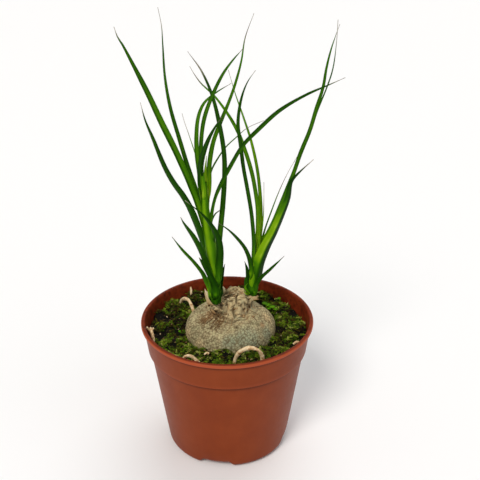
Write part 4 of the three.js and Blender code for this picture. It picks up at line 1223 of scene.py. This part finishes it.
# The solids' four roots: radius and route.
ROOTS = {
    "root_loop_front": (1.25, [
        (4.4, -41, 78), (4.9, -41, 86), (6.2, -41, 92), (9, -41.5, 96.6), (13, -42, 99.6), (17, -42, 100),
        (20.8, -42, 98.2), (23.2, -41.5, 94), (23.8, -41, 88), (23.4, -40.5, 78),
    ]),
    "root_loop_front_left": (0.95, [
        (-29.6, -41, 78), (-29.2, -41, 87), (-27.4, -41.5, 92.8), (-24, -41.5, 93.4), (-20.8, -41.5, 91),
        (-18, -41.5, 87), (-17, -41, 78),
    ]),
    "root_arch_back_left": (1.05, [
        (-22.5, 13, 80), (-24, 15, 91), (-25.6, 17.6, 96), (-28, 21.6, 98.8), (-31, 26, 97.6),
        (-33.6, 30, 93.8), (-35.2, 32.4, 87), (-35.8, 33, 78),
    ]),
    "root_stub_left": (0.9, [
        (-49, -16, 78), (-50.6, -13.6, 87.5), (-51.8, -10.6, 91), (-53, -6.6, 92.4), (-53.8, -2.6, 90),
        (-53.4, -0.6, 84), (-53, 0, 78),
    ]),
}

# Thin broken roots and stalks that lie on the moss: (radius, route).
TWIGS = [
    (0.75, [(-52.5, -8, 86), (-53.1, -8, 90.5), (-54, -8.2, 92.6), (-55.6, -8.4, 95)]),
    (0.6, [(-53.1, -8, 90.2), (-52.2, -7.5, 92), (-51, -8, 94)]),
    (0.75, [(-27.6, 44, 90), (-27.5, 45, 93), (-27.8, 46.3, 96)]),
    (0.6, [(45, -23, 90.5), (47, -22, 91.6), (49, -21.6, 91.4)]),
    (0.5, [(-15, -36, 90.8), (-13, -35, 91.6), (-11.6, -35.4, 91.2)]),
]


def add_roots(finish):
    routes = [(node.replace("root_", "dry_root_"), [node], [(radius, route)])
              for node, (radius, route) in ROOTS.items()]
    routes.append(("dry_twigs", [], TWIGS))
    for seed, (name, nodes, lines) in enumerate(routes):
        shape = bmesh.new()

        def reach(share, angle):
            run = share * length
            knob = 1 + 0.25 * rough((run, seed, 0), 5) + 0.14 * rough((run, seed, 0), 1.8)
            flat = 0.16 * math.cos(2 * angle + run * 0.3) + 0.06 * math.cos(5 * angle)
            return radius * knob * (1 + flat)

        for radius, route in lines:
            length = smooth_line(route, 2)[2]
            add_tube(shape, smooth_line(route, max(12, round(length / 0.5)))[0], 20, reach)
        close_up(shape)
        add_piece(name, shape, finish, nodes)


# ---- small things on the moss ------------------------------------------------------------------------

CLOVER = [  # leaflets: middle, the way it points, length
    ((27, 24, 94.8), 170, 4.6), ((31.9, 19.7, 94.6), -25, 5), ((29.2, 21.8, 95), 60, 3.6),
    ((29.4, 17.9, 94.2), -100, 3.4), ((34.4, 17.4, 94), -20, 3), ((37.5, 31, 95), 40, 2.6),
    ((-33, -8, 91.4), 120, 2.2),
]


def add_clover(finish):
    """A seedling between the moss: oval leaflets on short stalks."""
    shape = bmesh.new()
    down = shape.verts.layers.float_vector.new("down")
    layers = marked(shape, "tone", "dry", "sideways")
    for i, (middle, points, length) in enumerate(CLOVER):
        grid = bmesh.ops.create_grid(shape, x_segments=6, y_segments=8, size=0.5)["verts"]
        way = toward(math.radians(points))
        along, across = way + Vector((0, 0, 0.15)), Vector((-way.y, way.x, 0))
        for point in grid:
            u, v = 2 * point.co.x, 2 * point.co.y
            width = math.sqrt(max(0, 1 - v * v)) * 0.4 * length + 0.04
            rise = 0.25 * u * u + 0.12 * math.sin(5 * v + i)
            point.co = Vector(middle) + along * v * length / 2 + across * u * width + Vector((0, 0, rise))
            point[down] = Vector((0, 0, -0.25))
            point[layers["tone"]] = 0.5 + 0.2 * (abs(u) < 0.2)
    for middle, points, length in CLOVER:
        foot = Vector(middle) - Vector((0, 0, 0.2))
        stalk = np.array([foot, foot - Vector((0.3, 0.2, 1.5)), foot - Vector((0.6, 0, 3.5))])
        add_tube(shape, smooth_line(stalk, 8)[0], 6, lambda share, angle: 0.22)
    thicken(shape, [face for face in shape.faces if face.verts[0][down].length > 0], down)
    close_up(shape)
    shape.verts.layers.float_vector.remove(down)
    add_piece("seedling", shape, finish)


def add_crumbs(finish):
    """Loose crumbs of bark and grit between the shoots of the moss."""
    unit = bmesh.new()
    bmesh.ops.create_icosphere(unit, subdivisions=1, radius=0.5, matrix=Matrix.Diagonal((1.3, 0.8, 0.6, 1)))
    draw = random.Random(12)
    spots = []
    while len(spots) < 420:
        r, angle = 56 * math.sqrt(draw.random()), draw.uniform(0, TURN)
        x, y = r * math.cos(angle), r * math.sin(angle)
        height = moss_height(x, y)
        size, tone, keep = draw.uniform(0.5, 1.8), draw.random(), draw.random()
        if on_moss(x, y, height) and keep < 0.35 + 0.6 * smoothstep(-x, 0, 20):
            z = height - MOSS["sunk"] + MOSS["clump_height"] * (clump(x, y) - 0.55) + 0.3
            spots.append(((x, y, z), angle * 9, 0.7 * tone, size, tone))
    scatter("crumbs", unit, spots, finish)


# ---- putting it together -----------------------------------------------------------------------------

def add_floor(finish):
    shape = bmesh.new()
    bmesh.ops.create_grid(shape, x_segments=1, y_segments=1, size=FLOOR["reach"] * MM / 2)
    mesh = bpy.data.meshes.new("floor")
    shape.to_mesh(mesh)
    shape.free()
    mesh.materials.append(finish)
    made = bpy.data.objects.new("floor", mesh)
    bpy.context.scene.collection.objects.link(made)


def add_shoots(finish):
    for side, (route, radii, leaves, buds) in SHOOTS.items():
        stem = add_stem(f"{side}_rolled_leaves", route, radii, finish, [f"{side}_shoot_stem"])
        for i, leaf in enumerate(leaves, 1):
            add_blade(f"{side}_blade_{i:02d}", leaf, finish, [f"{side}_shoot_leaf_{i:02d}"], i, stem)
        for i, leaf in enumerate(buds, 1):
            add_blade(f"{side}_bud_{i}", leaf, finish, [], i, stem)


add_camera()
add_lights()
add_floor(floor_paint())
add_pot(terracotta_polypropylene())
add_soil(potting_peat())
add_moss_mat(moss_mat_finish())
living_moss = moss_finish()
scatter("moss_stars", star_shoot(), moss_spots(5), living_moss)
scatter("moss_feathers", feather_shoot(), moss_spots(6), living_moss)
add_caudex(caudex_bark())
papery = dried_scale()
add_crown(papery)
add_fibres(papery)
living_leaf = palm_leaf()
add_shoots(living_leaf)
add_roots(dry_root())
add_clover(living_leaf)
add_crumbs(crumb_finish())
